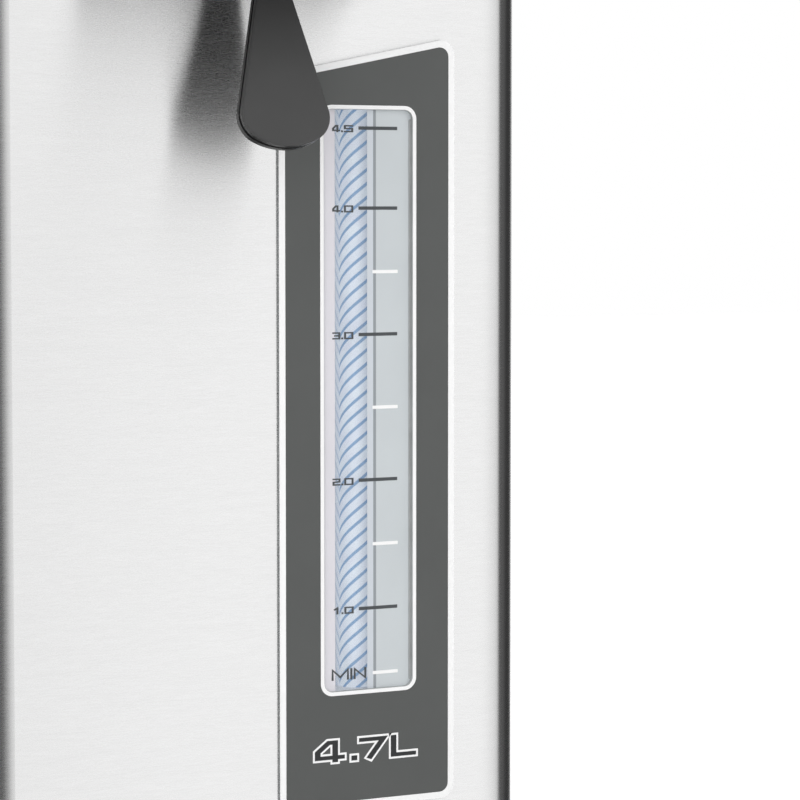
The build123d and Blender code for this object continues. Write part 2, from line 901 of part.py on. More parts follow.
def make_spout_nozzle():
    spot = (0, spout_y)
    bottom = sleeve_top_z - spout_drop
    top = riser_level_z() + riser_radius + spout_top_wall
    nozzle = disc(spout_radius, (bottom, top), spot)
    nozzle = chamfer(nozzle.edges().group_by(Axis.Z)[0], spout_chamfer)
    flange_bottom = sleeve_top_z + cover_thickness
    nozzle += disc(spout_flange_radius, (flange_bottom, flange_bottom + spout_flange_height), spot)
    nozzle += rod_x(riser_bore - seat_gap, (0, spout_radius + riser_stub), spout_y, riser_level_z())
    nozzle -= disc(spout_bore, (bottom - past, riser_level_z() + riser_bore), spot)
    return nozzle - rod_x(riser_way, (0, spout_radius + riser_stub + past), spout_y, riser_level_z())


# Head


def nose_plan(grow):
    """The front of the head seen from above: the body's front and the nose."""
    root = front_y + 2 * nose_tip_radius
    length = root - nose_tip_y + 2 * grow
    nose = RectangleRounded(nose_width + 2 * grow, length, nose_tip_radius + grow)
    return body_outline(moulding_proud + grow) + Pos(0, root - length / 2 + grow) * nose


def nose_block(grow, z):
    """The front of the head made solid, with the corners where the nose starts rounded."""
    solid = upright(nose_plan(grow), z)
    root_y = head_front_y - grow
    inside = [e for e in solid.edges().filter_by(Axis.Z) if abs(e.center().Y - root_y) < hair]
    inside = [e for e in inside if abs(abs(e.center().X) - nose_width / 2 - grow) < hair]
    return fillet(inside, nose_root_fillet - grow)


def front_of_head(grow, drop):
    """The head in front of the lid, from the sleeve up to its sloped top."""
    return nose_block(grow, (sleeve_top_z, lid_top_z + past)) - above_controls(drop)


def rear_of_head():
    """The raised deck behind the lid that carries the hinge."""
    tall = upright(body_outline(moulding_proud), (sleeve_top_z, collar_top_z + rear_deck_height))
    tall = fillet(tall.edges().group_by(Axis.Z)[-1], rear_deck_fillet)
    return tall - block((-far, far), (-far, lid_rear + lid_joint), (0, far))


def notch_x():
    half = hinge_tongue_width / 2 + lid_joint
    return (-half, half)


def head_outside():
    front = front_of_head(0, 0) - block((-far, far), (lid_front - lid_joint, far), (0, far))
    rim = [e for e in front.edges() if abs(above_top(e.center())) < hair]
    front = fillet([e for e in rim if e.center().Z < lid_top_z - hair], head_fillet)
    collar = upright(body_outline(moulding_proud), (sleeve_top_z, collar_top_z))
    return front + collar + rear_of_head()


def above_top(point):
    """Height of a point above the sloped top of the nose."""
    return point.Z - lid_top_z + tan(radians(control_slope)) * (lid_front - lid_joint - point.Y)


def make_head_frame():
    frame = head_outside()
    hollow_z = (sleeve_top_z - past, collar_top_z - moulding_wall)
    hollow = upright(body_outline(moulding_proud - moulding_wall), hollow_z)
    nose_hollow = front_of_head(-moulding_wall, moulding_wall)
    nose_hollow -= block((-far, far), (lid_front - lid_joint - moulding_wall, far), (0, far))
    frame -= hollow
    frame -= nose_hollow
    frame -= nose_block(-moulding_wall, (sleeve_top_z - past, sleeve_top_z + past))
    frame += ring(mouth_radius + moulding_wall, mouth_radius, (mouth_bottom_z, collar_top_z))
    frame -= disc(mouth_radius, (mouth_bottom_z - past, collar_top_z + hair))
    frame += head_bosses()
    frame -= head_holes()
    return frame


def head_bosses():
    """Bosses for the long screws, the handle pins, the nose cover and the control board."""
    bosses = Part()
    tie_z = (sleeve_top_z, collar_top_z - moulding_wall)
    for spot in corners:
        bosses += disc(tie_boss_radius, tie_z, spot)
    for side in (-1, 1):
        wall_x = head_side_x - moulding_wall / 2
        x = sorted((side * wall_x, side * (wall_x - handle_boss_length)))
        bosses += rod_x(handle_boss_radius, x, handle_y, handle_z)
    bosses += nose_cover_bosses()
    for spot in board_post_spots:
        bosses += on_controls(disc(board_post_radius, (-board_depth, -moulding_wall / 2), spot))
    return bosses


def nose_screw_spots():
    x = nose_width / 2 - nose_screw_inset
    return [(side * x, y) for side in (-1, 1) for y in nose_screw_y]


def nose_cover_bosses():
    z = (sleeve_top_z + cover_thickness, sleeve_top_z + nose_boss_height)
    wall = nose_width / 2 - moulding_wall / 2
    bosses = Part()
    for side in (-1, 1):
        x = sorted((side * wall, side * (wall - nose_boss_reach)))
        for y in nose_screw_y:
            bosses += block(x, (y - nose_boss_width / 2, y + nose_boss_width / 2), z)
    return bosses & front_of_head(-moulding_wall / 2, moulding_wall)


def head_holes():
    """What is cut through the head: hinge notch, pin bores, button holes and the overlay's recess."""
    notch_y = (lid_rear, hinge_y + hinge_barrel_radius + lid_joint)
    holes = block(notch_x(), notch_y, (collar_top_z, far))
    pin_end = hinge_pin_length / 2 + hinge_pin_end_gap
    holes += rod_x(hinge_pin_radius + pin_fit, (-pin_end, pin_end), hinge_y, hinge_z)
    for spot in corners:
        holes += disc(tie_radius + seat_gap, (sleeve_top_z - past, sleeve_top_z + tie_boss_height), spot)
    for side in (-1, 1):
        inner_end = head_side_x - handle_boss_length - moulding_wall - past
        x = sorted((side * (head_side_x + past), side * inner_end))
        holes += rod_x(handle_pin_radius + pin_fit, x, handle_y, handle_z)
    for spot in nose_screw_spots():
        holes += disc(nose_screw_radius + seat_gap, (sleeve_top_z, sleeve_top_z + nose_boss_height), spot)
    for spot in board_post_spots:
        bore = disc(board_screw_radius + seat_gap, (-board_depth - past, -moulding_wall - past), spot)
        holes += on_controls(bore)
    holes += on_controls(upright(overlay_outline(seat_gap), (-overlay_thickness, past)))
    holes += on_controls(button_holes((-moulding_wall - past, past)))
    holes += strike_hole()
    return holes


def strike_hole():
    """The slot that the lid latch's tongue goes into."""
    z = latch_tongue_z()
    half = latch_tongue_width / 2 + strike_gap_x
    back = lid_front - lid_joint
    y = (back - moulding_wall - past, back + hair)
    return block((-half, half), y, (z[0] - strike_gap_z, z[1] + strike_gap_z))


def make_hinge_pin():
    return rod_x(hinge_pin_radius, (-hinge_pin_length / 2, hinge_pin_length / 2), hinge_y, hinge_z)


def make_nose_cover():
    z = (sleeve_top_z, sleeve_top_z + cover_thickness)
    cover = nose_block(-moulding_wall - seat_gap, z)
    cover -= block((-far, far), (head_front_y - seat_gap, far), (0, far))
    slot_x = (-lever_slot_half_width, lever_slot_half_width)
    cover -= block(slot_x, lever_slot_y(), (z[0] - past, z[1] + past))
    cover -= disc(spout_radius + seat_gap, (z[0] - past, z[1] + past), (0, spout_y))
    for spot in nose_screw_spots():
        cover -= disc(nose_screw_radius + seat_gap, (z[0] - past, z[1] + past), spot)
        cover -= disc(nose_screw_head + seat_gap, (z[0] - past, z[0] + cover_thickness / 2), spot)
    return cover + lever_ears()


def lever_slot_y():
    """The slot's front and rear, around all that the lever sweeps there."""
    hanging = radians(lever_tilt)
    pushed = radians(lever_tilt - lever_travel)
    half = lever_thickness / 2
    front = lever_pivot_y - half / cos(hanging) - lever_pivot_height * tan(hanging)
    rear = lever_pivot_y + half / cos(pushed) - (lever_pivot_height - cover_thickness) * tan(pushed)
    return (front - lever_slot_gap, rear + lever_slot_gap)


def ear_x():
    inner = lever_hub_width / 2 + slip_gap
    return (inner, inner + lever_ear_thickness)


def lever_ears():
    """The two upright ears that carry the lever's pin and the switch."""
    z = (sleeve_top_z + cover_thickness / 2, sleeve_top_z + cover_thickness + lever_ear_height)
    ears = Part()
    for side in (-1, 1):
        x = sorted((side * ear_x()[0], side * ear_x()[1]))
        ears += block(x, (lever_ear_front, lever_ear_rear), z)
    return ears - rod_x(lever_pin_radius + pin_fit, (-far, far), lever_pivot_y, lever_pivot_z)


def make_nose_screws():
    screws = []
    z = sleeve_top_z
    for spot in nose_screw_spots():
        head = disc(nose_screw_head, (z + seat_gap, z + cover_thickness / 2), spot)
        head -= drive_slot(nose_screw_head, z + seat_gap, spot)
        shank_z = (z + cover_thickness / 2, z + nose_screw_length)
        screws.append(head + disc(nose_screw_radius, shank_z, spot))
    return screws


# Cup lever


def on_lever(piece):
    """Place a piece drawn with the pivot at its origin, the lever hanging along -Z and facing -Y."""
    return Pos(0, lever_pivot_y, lever_pivot_z) * Rot(-lever_tilt, 0, 0) * piece


def lever_outline(inset):
    """The tear drop, drawn with the pivot at the origin and y up."""
    bottom = -lever_length + inset
    half = lever_half_width - inset
    rise = lever_widest_rise
    top = -lever_length + lever_top_rise
    top_half = lever_top_half_width - inset / 2
    arc = ThreePointArc((-half, bottom + rise), (0, bottom), (half, bottom + rise))
    sides = Polyline((half, bottom + rise), (top_half, top), (-top_half, top), (-half, bottom + rise))
    outline = make_face([arc, sides])
    low = outline.vertices().sort_by(Axis.Y)[:2]
    return fillet(low, lever_corner_radius - inset)


def lever_slab(inset, front, back):
    """The tear drop made solid between two depths, measured from the lever's front face."""
    face = Plane(origin=(0, back - lever_thickness / 2, 0), x_dir=(1, 0, 0), z_dir=(0, -1, 0))
    return on_lever(extrude(face * lever_outline(inset), back - front))


def make_lever_pad():
    pad = lever_slab(0, 0, lever_pad_thickness)
    rim = [e for e in pad.edges() if lever_depth(e.center()) < hair]
    rim = [e for e in rim if e.center().Z < sleeve_top_z - lever_rim_below]
    return fillet(rim, lever_rim_fillet)


def lever_depth(point):
    """Depth of a point behind the lever's front face."""
    down = lever_pivot_z - point.Z
    forward = point.Y - lever_pivot_y
    tilt = radians(lever_tilt)
    return forward * cos(tilt) + down * sin(tilt) + lever_thickness / 2


def make_cup_lever():
    neck_back = lever_pad_thickness + lever_neck_thickness
    lever = lever_slab(lever_neck_inset, lever_pad_thickness, neck_back + slip_gap)
    lever += lever_slab(0, neck_back, lever_thickness)
    half_hub = lever_hub_width / 2
    lever += rod_x(lever_hub_radius, (-half_hub, half_hub), lever_pivot_y, lever_pivot_z)
    half_neck = lever_top_half_width
    arm_z = (-lever_length + lever_top_rise - lever_arm_lap, 0)
    arm_y = (lever_pad_thickness - lever_thickness / 2, lever_thickness / 2)
    lever += on_lever(block((-half_neck, half_neck), arm_y, arm_z))
    half_finger = lever_finger_width / 2
    half = lever_thickness / 2
    lever += on_lever(block((-half_finger, half_finger), (-half, half), (0, lever_finger)))
    return lever - rod_x(lever_pin_radius + pin_fit, (-far, far), lever_pivot_y, lever_pivot_z)


def make_lever_pin():
    half = lever_pin_length / 2
    return rod_x(lever_pin_radius, (-half, half), lever_pivot_y, lever_pivot_z)


def switch_z():
    low = sleeve_top_z + cover_thickness + lever_ear_height
    return (low, low + switch_height)


def make_lever_switch():
    switch = block((-ear_x()[1], ear_x()[1]), (switch_front, switch_front + switch_depth), switch_z())
    back = switch_front + switch_depth
    plunger_z = switch_z()[0] + switch_plunger_height
    return switch + rod_y(switch_plunger_radius, 0, (back - past, back + switch_plunger_reach), plunger_z)


# Controls


def overlay_outline(grow):
    corner = overlay_corner + grow
    return RectangleRounded(overlay_width + 2 * grow, overlay_length + 2 * grow, corner)


def button_holes(z):
    """Holes for the buttons and the lenses, drawn on the control panel."""
    holes = disc(dispense_radius + slip_gap, z, dispense_spot)
    holes += disc(small_button_radius + slip_gap, z, unlock_spot)
    holes += disc(small_button_radius + slip_gap, z, reboil_spot)
    for spot in lens_spots:
        holes += disc(lens_radius + seat_gap, z, spot)
    return holes


def make_control_overlay():
    overlay = upright(overlay_outline(0), (-overlay_thickness, 0))
    return on_controls(overlay - button_holes((-overlay_thickness - past, past)))


def make_button(radius, spot):
    """A button whose stem stops its travel short of the switch on the board."""
    stem_bottom = tact_height - board_depth + button_travel + slip_gap
    cap = disc(radius, (-moulding_wall - slip_gap, button_proud), spot)
    cap = fillet(cap.edges().group_by(Axis.Z)[-1], button_fillet)
    flange_top = -moulding_wall - slip_gap
    cap += disc(radius + button_flange, (flange_top - button_flange_height, flange_top), spot)
    cap += disc(button_stem_radius, (stem_bottom, flange_top), spot)
    return on_controls(cap)


def make_indicator_lenses():
    return [on_controls(disc(lens_radius, (-lens_length, lens_proud), spot)) for spot in lens_spots]


def make_control_board():
    z = (-board_depth - board_thickness, -board_depth)
    board = upright(RectangleRounded(board_width, board_length, board_corner), z)
    for spot in (dispense_spot, unlock_spot, reboil_spot):
        switch = Box(tact_size, tact_size, tact_height)
        board += Pos(spot[0], spot[1], -board_depth + tact_height / 2) * switch
    for spot in lens_spots:
        board += disc(lens_radius, (-board_depth, -lens_length - slip_gap), spot)
    for spot in board_post_spots:
        board -= disc(board_screw_radius + seat_gap, (z[0] - past, z[1] + past), spot)
    return on_controls(board)


def make_board_screws():
    under = -board_depth - board_thickness
    screws = []
    for spot in board_post_spots:
        head = disc(board_screw_head, (under - board_screw_radius, under), spot)
        head -= drive_slot(board_screw_head, under - board_screw_radius, spot)
        shank = disc(board_screw_radius, (under, under + board_screw_length), spot)
        screws.append(on_controls(head + shank))
    return screws


# Lid


def latch_tongue_z():
    middle = lid_top_z - moulding_wall - slip_gap - latch_height / 2
    return (middle - latch_tongue_height / 2, middle + latch_tongue_height / 2)


def lid_block(inset, z):
    """The lid's outside or inside as a box, its top rounded on all sides but the front."""
    x = (-head_side_x + inset, head_side_x - inset)
    solid = block(x, (lid_front + inset, lid_rear - inset), z)
    top_edges = solid.edges().group_by(Axis.Z)[-1]
    rounded = [e for e in top_edges if e.center().Y > lid_front + inset + hair]
    return fillet(rounded, head_fillet - inset)


def make_lid_shell():
    ceiling = lid_top_z - moulding_wall
    shell = lid_block(0, (lid_bottom_z, lid_top_z)) - lid_block(moulding_wall, (0, ceiling))
    rib = liner_radius + seat_gap
    shell += ring(rib + liner_rib_wall, rib, (collar_top_z - liner_rib_depth, ceiling))
    shell += lid_well()
    shell += Pos(0, 0, ceiling) * latch_rails()
    shell += Pos(0, 0, ceiling) * lock_rails()
    shell += hinge_tongue()
    return shell - lid_openings()


def well_floor_z():
    return plate_z()[0] - plate_travel - well_spare


def lid_well():
    """The round well that holds the air pump's bellows."""
    floor = well_floor_z()
    well = disc(well_radius + well_wall, (floor - well_wall, lid_top_z))
    well -= disc(well_radius, (floor, lid_top_z - moulding_wall))
    well -= disc(well_radius - well_lip, (lid_top_z - moulding_wall - past, lid_top_z + past))
    return well - disc(air_hole_radius, (floor - well_wall - past, floor + past))


def latch_rails():
    front = lid_front + moulding_wall
    length = latch_rear + latch_travel + rail_past - front
    rails = Pos(0, front) * Rot(0, 0, 90) * slider_rails(length, latch_width, latch_height - slip_gap)
    stop_x = (-latch_stop_half_width, latch_stop_half_width)
    stop_y = (latch_rear + latch_stop_gap, latch_rear + latch_stop_gap + latch_stop_wall)
    return rails + block(stop_x, stop_y, (-latch_height - rail_wall, 0))


def lock_rails():
    start = well_radius + well_wall
    length = lock_inner + lock_length + rail_past - start
    return Pos(start, 0) * slider_rails(length, lock_width, latch_height - slip_gap)


def hinge_tongue():
    half = hinge_tongue_width / 2
    tongue = rod_x(hinge_barrel_radius, (-half, half), hinge_y, hinge_z)
    z = (hinge_z - hinge_barrel_radius, hinge_z + hinge_barrel_radius)
    return tongue + block((-half, half), (lid_rear - moulding_wall, hinge_y), z)


def lid_openings():
    """What is cut through the lid: the pump's mouth, the vent, the hinge bore and the sliders' slots."""
    ceiling = lid_top_z - moulding_wall
    cut = disc(well_radius - well_lip, (ceiling - hair, lid_top_z + past))
    cut += disc(well_radius, (well_floor_z(), ceiling))
    cut += disc(vent_neck_radius + seat_gap, (ceiling - past, lid_top_z + past), (0, vent_y))
    cut += rod_x(hinge_pin_radius + pin_fit, (-far, far), hinge_y, hinge_z)
    return cut + latch_openings() + lock_openings()


def latch_openings():
    """The latch's slots in the lid's top and front, and its way through the liner's rib."""
    ceiling = lid_top_z - moulding_wall
    half = latch_pad_width / 2 + slip_gap
    pad = latch_pad_y()
    slot_y = (pad[0] - slip_gap, pad[1] + latch_travel + slip_gap)
    cut = block((-half, half), slot_y, (ceiling - hair, lid_top_z + past))
    half = latch_tongue_width / 2 + slip_gap
    z = latch_tongue_z()
    front_y_span = (lid_front - past, lid_front + moulding_wall + past)
    cut += block((-half, half), front_y_span, (z[0] - slip_gap, z[1] + slip_gap))
    half = latch_width / 2 + slip_gap
    rib_y = (-liner_radius - 2 * liner_rib_wall, latch_rear)
    return cut + block((-half, half), rib_y, (ceiling - latch_height - 2 * slip_gap, ceiling))


def lock_openings():
    """The pump lock's slots in the lid's top and in the well's wall."""
    ceiling = lid_top_z - moulding_wall
    knob = lock_knob_x()
    half = lock_knob_width / 2 + slip_gap
    slot_x = (knob[0] - lock_travel - slip_gap, knob[1] + slip_gap)
    cut = block(slot_x, (-half, half), (ceiling - hair, lid_top_z + past))
    z = lock_tongue_z()
    half = lock_tongue_width / 2 + slip_gap
    return cut + block((well_radius - past, lock_inner), (-half, half), (z[0] - slip_gap, z[1] + slip_gap))


def make_lid_liner():
    bottom = lid_bottom_z - liner_depth
    liner = disc(liner_radius, (bottom, lid_bottom_z + liner_into_lid))
    liner = fillet(liner.edges().group_by(Axis.Z)[0], liner_fillet)
    inside = disc(liner_radius - liner_wall, (bottom + liner_wall, lid_bottom_z + liner_into_lid + past))
    liner -= fillet(inside.edges().group_by(Axis.Z)[0], liner_fillet - liner_wall)
    hole_z = (bottom - past, bottom + liner_wall + past)
    liner -= disc(air_hole_radius, hole_z)
    return liner - disc(steam_hole_radius, hole_z, (0, vent_y))


def make_lid_gasket():
    z = (flange_top_z + slip_gap, flange_top_z + slip_gap + gasket_height)
    gasket = ring(gasket_radius, liner_radius + seat_gap, z)
    rim = gasket.edges().filter_by(GeomType.CIRCLE).sort_by(lambda e: -e.radius)[:2]
    return chamfer(rim, gasket_chamfer)


def make_air_valve():
    top = well_floor_z() - well_wall - seat_gap
    flap = disc(air_valve_radius, (top - air_valve_thickness, top))
    return flap + disc(air_valve_stem_radius, (top - seat_gap, top + air_valve_stem))


def make_steam_vent():
    spot = (0, vent_y)
    vent = disc(vent_radius, (lid_top_z, lid_top_z + vent_height), spot)
    vent = fillet(vent.edges().group_by(Axis.Z)[-1], vent_fillet)
    vent += disc(vent_neck_radius, (lid_top_z - vent_neck_length, lid_top_z), spot)
    vent -= disc(vent_neck_radius - vent_wall, (lid_top_z - vent_neck_length - past, lid_top_z), spot)
    pitch = 2 * vent_slot_width
    for index in range(vent_slots):
        x = (index - (vent_slots - 1) / 2) * pitch
        vent -= Pos(x, vent_y, lid_top_z) * Box(vent_slot_width, vent_slot_length, 2 * (vent_height + past))
    return vent


# Air pump in the lid


def plate_z():
    """The pump plate's underside and top."""
    top = lid_top_z + plate_proud
    return (top - plate_height, top)


def plate_shoulder_z():
    return lid_top_z - moulding_wall - slip_gap


def make_pump_plate():
    low, top = plate_z()
    neck = well_radius - well_lip - plate_gap
    plate = disc(neck, (low, top))
    plate = fillet(plate.edges().group_by(Axis.Z)[-1], plate_fillet)
    plate += disc(well_radius - plate_gap, (low, plate_shoulder_z()))
    plate -= disc(neck - plate_wall, (low - past, top - plate_wall))
    return plate


def make_bellows():
    """A folded tube from the well's floor to the pump plate, revolved from a zigzag."""
    low = well_floor_z() + seat_gap
    high = plate_z()[1] - plate_wall - seat_gap
    step = (high - low) / (2 * bellows_folds)
    outer = []
    for index in range(2 * bellows_folds + 1):
        outer.append((bellows_radius - bellows_fold * (index % 2), low + step * index))
    inner = [(radius - bellows_wall, z) for radius, z in reversed(outer)]
    profile = make_face(Plane.XZ * Polyline(*outer, *inner, close=True))
    return revolve(profile, Axis.Z)


def make_bellows_spring():
    low = well_floor_z() + seat_gap
    high = plate_z()[1] - plate_wall - seat_gap
    return ring(spring_radius, spring_radius - spring_wire, (low, high))


# Lid latch and pump lock


def latch_pad_y():
    front = latch_rear - latch_length + latch_pad_setback
    return (front, front + latch_pad_length)


def make_lid_latch():
    top = lid_top_z - moulding_wall - slip_gap
    half = latch_width / 2
    latch = block((-half, half), (latch_rear - latch_length, latch_rear), (top - latch_height, top))
    pad_half = latch_pad_width / 2
    pad = block((-pad_half, pad_half), latch_pad_y(), (top - past, lid_top_z + latch_pad_proud))
    latch += fillet(pad.edges().group_by(Axis.Z)[-1], slider_fillet)
    tongue_half = latch_tongue_width / 2
    tongue_y = (lid_front - latch_tongue_reach, latch_rear - latch_length + past)
    return latch + block((-tongue_half, tongue_half), tongue_y, latch_tongue_z())


def make_latch_spring():
    z = sum(latch_tongue_z()) / 2
    y = (latch_rear + seat_gap, latch_rear + latch_stop_gap - seat_gap)
    bore = latch_spring_radius - latch_spring_wire
    return rod_y(latch_spring_radius, 0, y, z) - rod_y(bore, 0, (y[0] - past, y[1] + past), z)


def lock_tongue_z():
    low = plate_z()[0] - slip_gap - lock_tongue_height
    return (low, low + lock_tongue_height)


def lock_knob_x():
    middle = lock_inner + lock_length / 2
    return (middle - lock_knob_length / 2, middle + lock_knob_length / 2)


def make_pump_lock():
    top = lid_top_z - moulding_wall - slip_gap
    half = lock_width / 2
    lock = block((lock_inner, lock_inner + lock_length), (-half, half), (top - latch_height, top))
    knob_half = lock_knob_width / 2
    knob = block(lock_knob_x(), (-knob_half, knob_half), (top - past, lid_top_z + latch_pad_proud))
    lock += fillet(knob.edges().group_by(Axis.Z)[-1], slider_fillet)
    tongue_half = lock_tongue_width / 2
    tip = well_radius + well_wall + slip_gap
    return lock + block((tip, lock_inner + past), (-tongue_half, tongue_half), lock_tongue_z())


# Carry handle


def handle_z_span():
    return (handle_z - handle_depth / 2, handle_z + handle_depth / 2)


def bail_x():
    """The bail's inner and outer sides, beside the head."""
    inner = head_side_x + handle_side_gap
    return (inner, inner + handle_arm)


def bail_y():
    """The inner and outer sides of the bail's cross bar, behind the head."""
    inner = head_rear_y + handle_rear_gap
    return (inner, inner + handle_bar)


def bail_loop(half_width, end, corner):
    """A rounded rectangle centred on the pivots, whose rear half is one side of the bail."""
    return Pos(0, handle_y) * RectangleRounded(2 * half_width, 2 * (end - handle_y), corner)


def make_handle_bail():
    plan = bail_loop(bail_x()[1], bail_y()[1], handle_corner + handle_arm)
    plan -= bail_loop(bail_x()[0], bail_y()[0], handle_corner)
    plan -= Pos(0, handle_y - far) * Rectangle(2 * far, 2 * far)
    bail = upright(plan, handle_z_span())
    for side in (-1, 1):
        x = sorted((side * bail_x()[0], side * bail_x()[1]))
        bail += rod_x(handle_eye_radius, x, handle_y, handle_z)
        bail -= rod_x(handle_pin_radius + pin_fit, (x[0] - past, x[1] + past), handle_y, handle_z)
    return bail


def bar_block(half, grow):
    """A length of the bail's cross bar, grown by a distance."""
    y = bail_y()
    z = handle_z_span()
    return block((-half, half), (y[0] - grow, y[1] + grow), (z[0] - grow, z[1] + grow))


def make_handle_grip():
    half = grip_length / 2
    grip = bar_block(half, grip_wall)
    return fillet(grip.edges().filter_by(Axis.X), grip_fillet) - bar_block(half + past, pin_fit)


def make_handle_pins():
    pins = []
    for side in (-1, 1):
        start = head_side_x - handle_boss_length
        shoulder = bail_x()[1] + slip_gap
        shaft = sorted((side * start, side * shoulder))
        cap = sorted((side * shoulder, side * (shoulder + handle_cap_height)))
        head = rod_x(handle_cap_radius, cap, handle_y, handle_z)
        outer_face = head.faces().sort_by(Axis.X)[-1 if side > 0 else 0]
        head = fillet(outer_face.edges(), handle_cap_fillet)
        pins.append(head + rod_x(handle_pin_radius, shaft, handle_y, handle_z))
    return pins


# Power inlet and power board


def make_inlet_socket():
    flange_outline = inlet_outline(inlet_flange_width, inlet_flange_height)
    flange = extrude(Pos(0, rear_y, 0) * flange_outline, inlet_flange_thickness)
    body_shape = inlet_outline(inlet_body_width, inlet_body_height)
    body = extrude(Pos(0, rear_y - inlet_body_depth, 0) * body_shape, inlet_body_depth)
    face = rear_y + inlet_flange_thickness
    recess = Pos(0, face - inlet_recess_depth, 0) * inlet_outline(inlet_recess_width, inlet_recess_height)
    socket = flange + body - extrude(recess, inlet_recess_depth + past)
    for x in inlet_pin_x():
        socket -= rod_y(inlet_pin_radius + pin_fit, x, (rear_y - inlet_body_depth - past, rear_y), inlet_z)
    return socket


def inlet_pin_x():
    return (-inlet_pin_spacing / 2, inlet_pin_spacing / 2)


def make_inlet_pins():
    end = rear_y + inlet_flange_thickness - inlet_pin_recessed
    return [rod_y(inlet_pin_radius, x, (end - inlet_pin_length, end), inlet_z) for x in inlet_pin_x()]


def power_board_posts():
    xs = (power_board_x[0] + power_post_inset, power_board_x[1] - power_post_inset)
    ys = (power_board_y[0] + power_post_inset, power_board_y[1] - power_post_inset)
    return [(x, y) for x in xs for y in ys]


def make_power_board():
    low = floor_top_z + power_board_post
    top = low + board_thickness
    board = block(power_board_x, power_board_y, (low, top))
    corner = Pos(power_board_x[0], power_board_y[0])
    board += corner * block(relay_x, relay_y, (low, top + relay_height))
    board += corner * block(transformer_x, transformer_y, (low, top + transformer_height))
    return board + corner * disc(capacitor_radius, (low, top + capacitor_height), capacitor_spot)


# Write every piece


def pieces():
    """Each node's name and its solid, or list of identical solids."""
    return {
        "rubber_ring": make_rubber_ring(),
        "swivel_plate": make_swivel_plate(),
        "swivel_retainer": make_swivel_retainer(),
        "swivel_screw": make_swivel_screw(),
        "base_tray": make_base_tray(),
        "tie_screws": make_tie_screws(),
        "outer_sleeve": make_outer_sleeve(),
        "inner_pot": make_inner_pot(),
        "pot_gasket": make_pot_gasket(),
        "heater_plate": make_heater_plate(),
        "insulation_pad": make_insulation_pad(),
        "support_pan": make_support_pan(),
        "thermostats": make_thermostats(),
        "insulation_jacket": make_insulation_jacket(),
        "pump_motor": make_pump_motor(),
        "pump_housing": make_pump_housing(),
        "pump_rotor": make_pump_rotor(),
        "inlet_hose": make_inlet_hose(),
        "outlet_hose": make_outlet_hose(),
        "gauge_panel": make_gauge_panel(),
        "gauge_window": make_gauge_window(),
        "gauge_trough": make_gauge_trough(),
        "level_tube": make_level_tube(),
        "tube_boots": make_tube_boots(),
        "tip_valve": make_tip_valve(),
        "valve_ball": make_valve_ball(),
        "riser_hose": make_riser_hose(),
        "spout_nozzle": make_spout_nozzle(),
        "head_frame": make_head_frame(),
        "hinge_pin": make_hinge_pin(),
        "nose_cover": make_nose_cover(),
        "nose_screws": make_nose_screws(),
        "lever_pad": make_lever_pad(),
        "cup_lever": make_cup_lever(),
        "lever_pin": make_lever_pin(),
        "lever_switch": make_lever_switch(),
        "control_overlay": make_control_overlay(),
        "dispense_button": make_button(dispense_radius, dispense_spot),
        "unlock_button": make_button(small_button_radius, unlock_spot),
        "reboil_button": make_button(small_button_radius, reboil_spot),
        "indicator_lenses": make_indicator_lenses(),
        "control_board": make_control_board(),
        "board_screws": make_board_screws(),
        "lid_shell": make_lid_shell(),
        "lid_liner": make_lid_liner(),
        "lid_gasket": make_lid_gasket(),
        "air_valve": make_air_valve(),
        "steam_vent": make_steam_vent(),
        "pump_plate": make_pump_plate(),
        "bellows": make_bellows(),
        "bellows_spring": make_bellows_spring(),
        "lid_latch": make_lid_latch(),
        "latch_spring": make_latch_spring(),
        "pump_lock": make_pump_lock(),
        "handle_bail": make_handle_bail(),
        "handle_grip": make_handle_grip(),
        "handle_pins": make_handle_pins(),
        "inlet_socket": make_inlet_socket(),
        "inlet_pins": make_inlet_pins(),
        "power_board": make_power_board(),
    }


os.makedirs("parts", exist_ok=True)
for name, shape in pieces().items():
    if isinstance(shape, list):
        shape = Compound(children=shape)
    export_step(shape, f"parts/{name}.step")
    print(name)
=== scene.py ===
import json
import math

import bmesh
import bpy
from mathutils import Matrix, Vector


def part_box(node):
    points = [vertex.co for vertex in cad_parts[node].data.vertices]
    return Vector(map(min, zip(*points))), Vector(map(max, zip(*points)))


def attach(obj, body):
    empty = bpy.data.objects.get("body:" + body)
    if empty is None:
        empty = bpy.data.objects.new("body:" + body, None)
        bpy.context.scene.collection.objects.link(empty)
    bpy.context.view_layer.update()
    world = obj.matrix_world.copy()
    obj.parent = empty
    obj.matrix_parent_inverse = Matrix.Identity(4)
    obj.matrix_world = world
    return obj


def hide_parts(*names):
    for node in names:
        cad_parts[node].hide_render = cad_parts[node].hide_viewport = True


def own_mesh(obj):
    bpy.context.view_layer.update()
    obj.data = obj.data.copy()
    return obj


# The looks of an electric water boiler around its CAD model. Metres, +Z up, front towards -Y.
# The mesh helpers and the gauge's sizes are in millimetres.
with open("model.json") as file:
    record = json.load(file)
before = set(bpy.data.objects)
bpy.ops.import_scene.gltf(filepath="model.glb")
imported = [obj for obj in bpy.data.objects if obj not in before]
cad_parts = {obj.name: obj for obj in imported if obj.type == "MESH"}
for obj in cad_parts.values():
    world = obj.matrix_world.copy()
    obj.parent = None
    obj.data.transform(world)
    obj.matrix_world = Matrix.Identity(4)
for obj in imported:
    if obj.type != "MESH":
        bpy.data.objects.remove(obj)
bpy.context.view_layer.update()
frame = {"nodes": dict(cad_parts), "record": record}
MM = 0.001


def mm(*values):
    """Millimetres as metres."""
    return tuple(v * MM for v in values)


# Materials

MATS = {}
# nearly all values of a noise texture lie in this range
NOISE_SPAN = (0.25, 0.75)
# a mix node's colour sockets: two inputs and the output
MIX_FIRST, MIX_SECOND, MIX_RESULT = 6, 7, 2
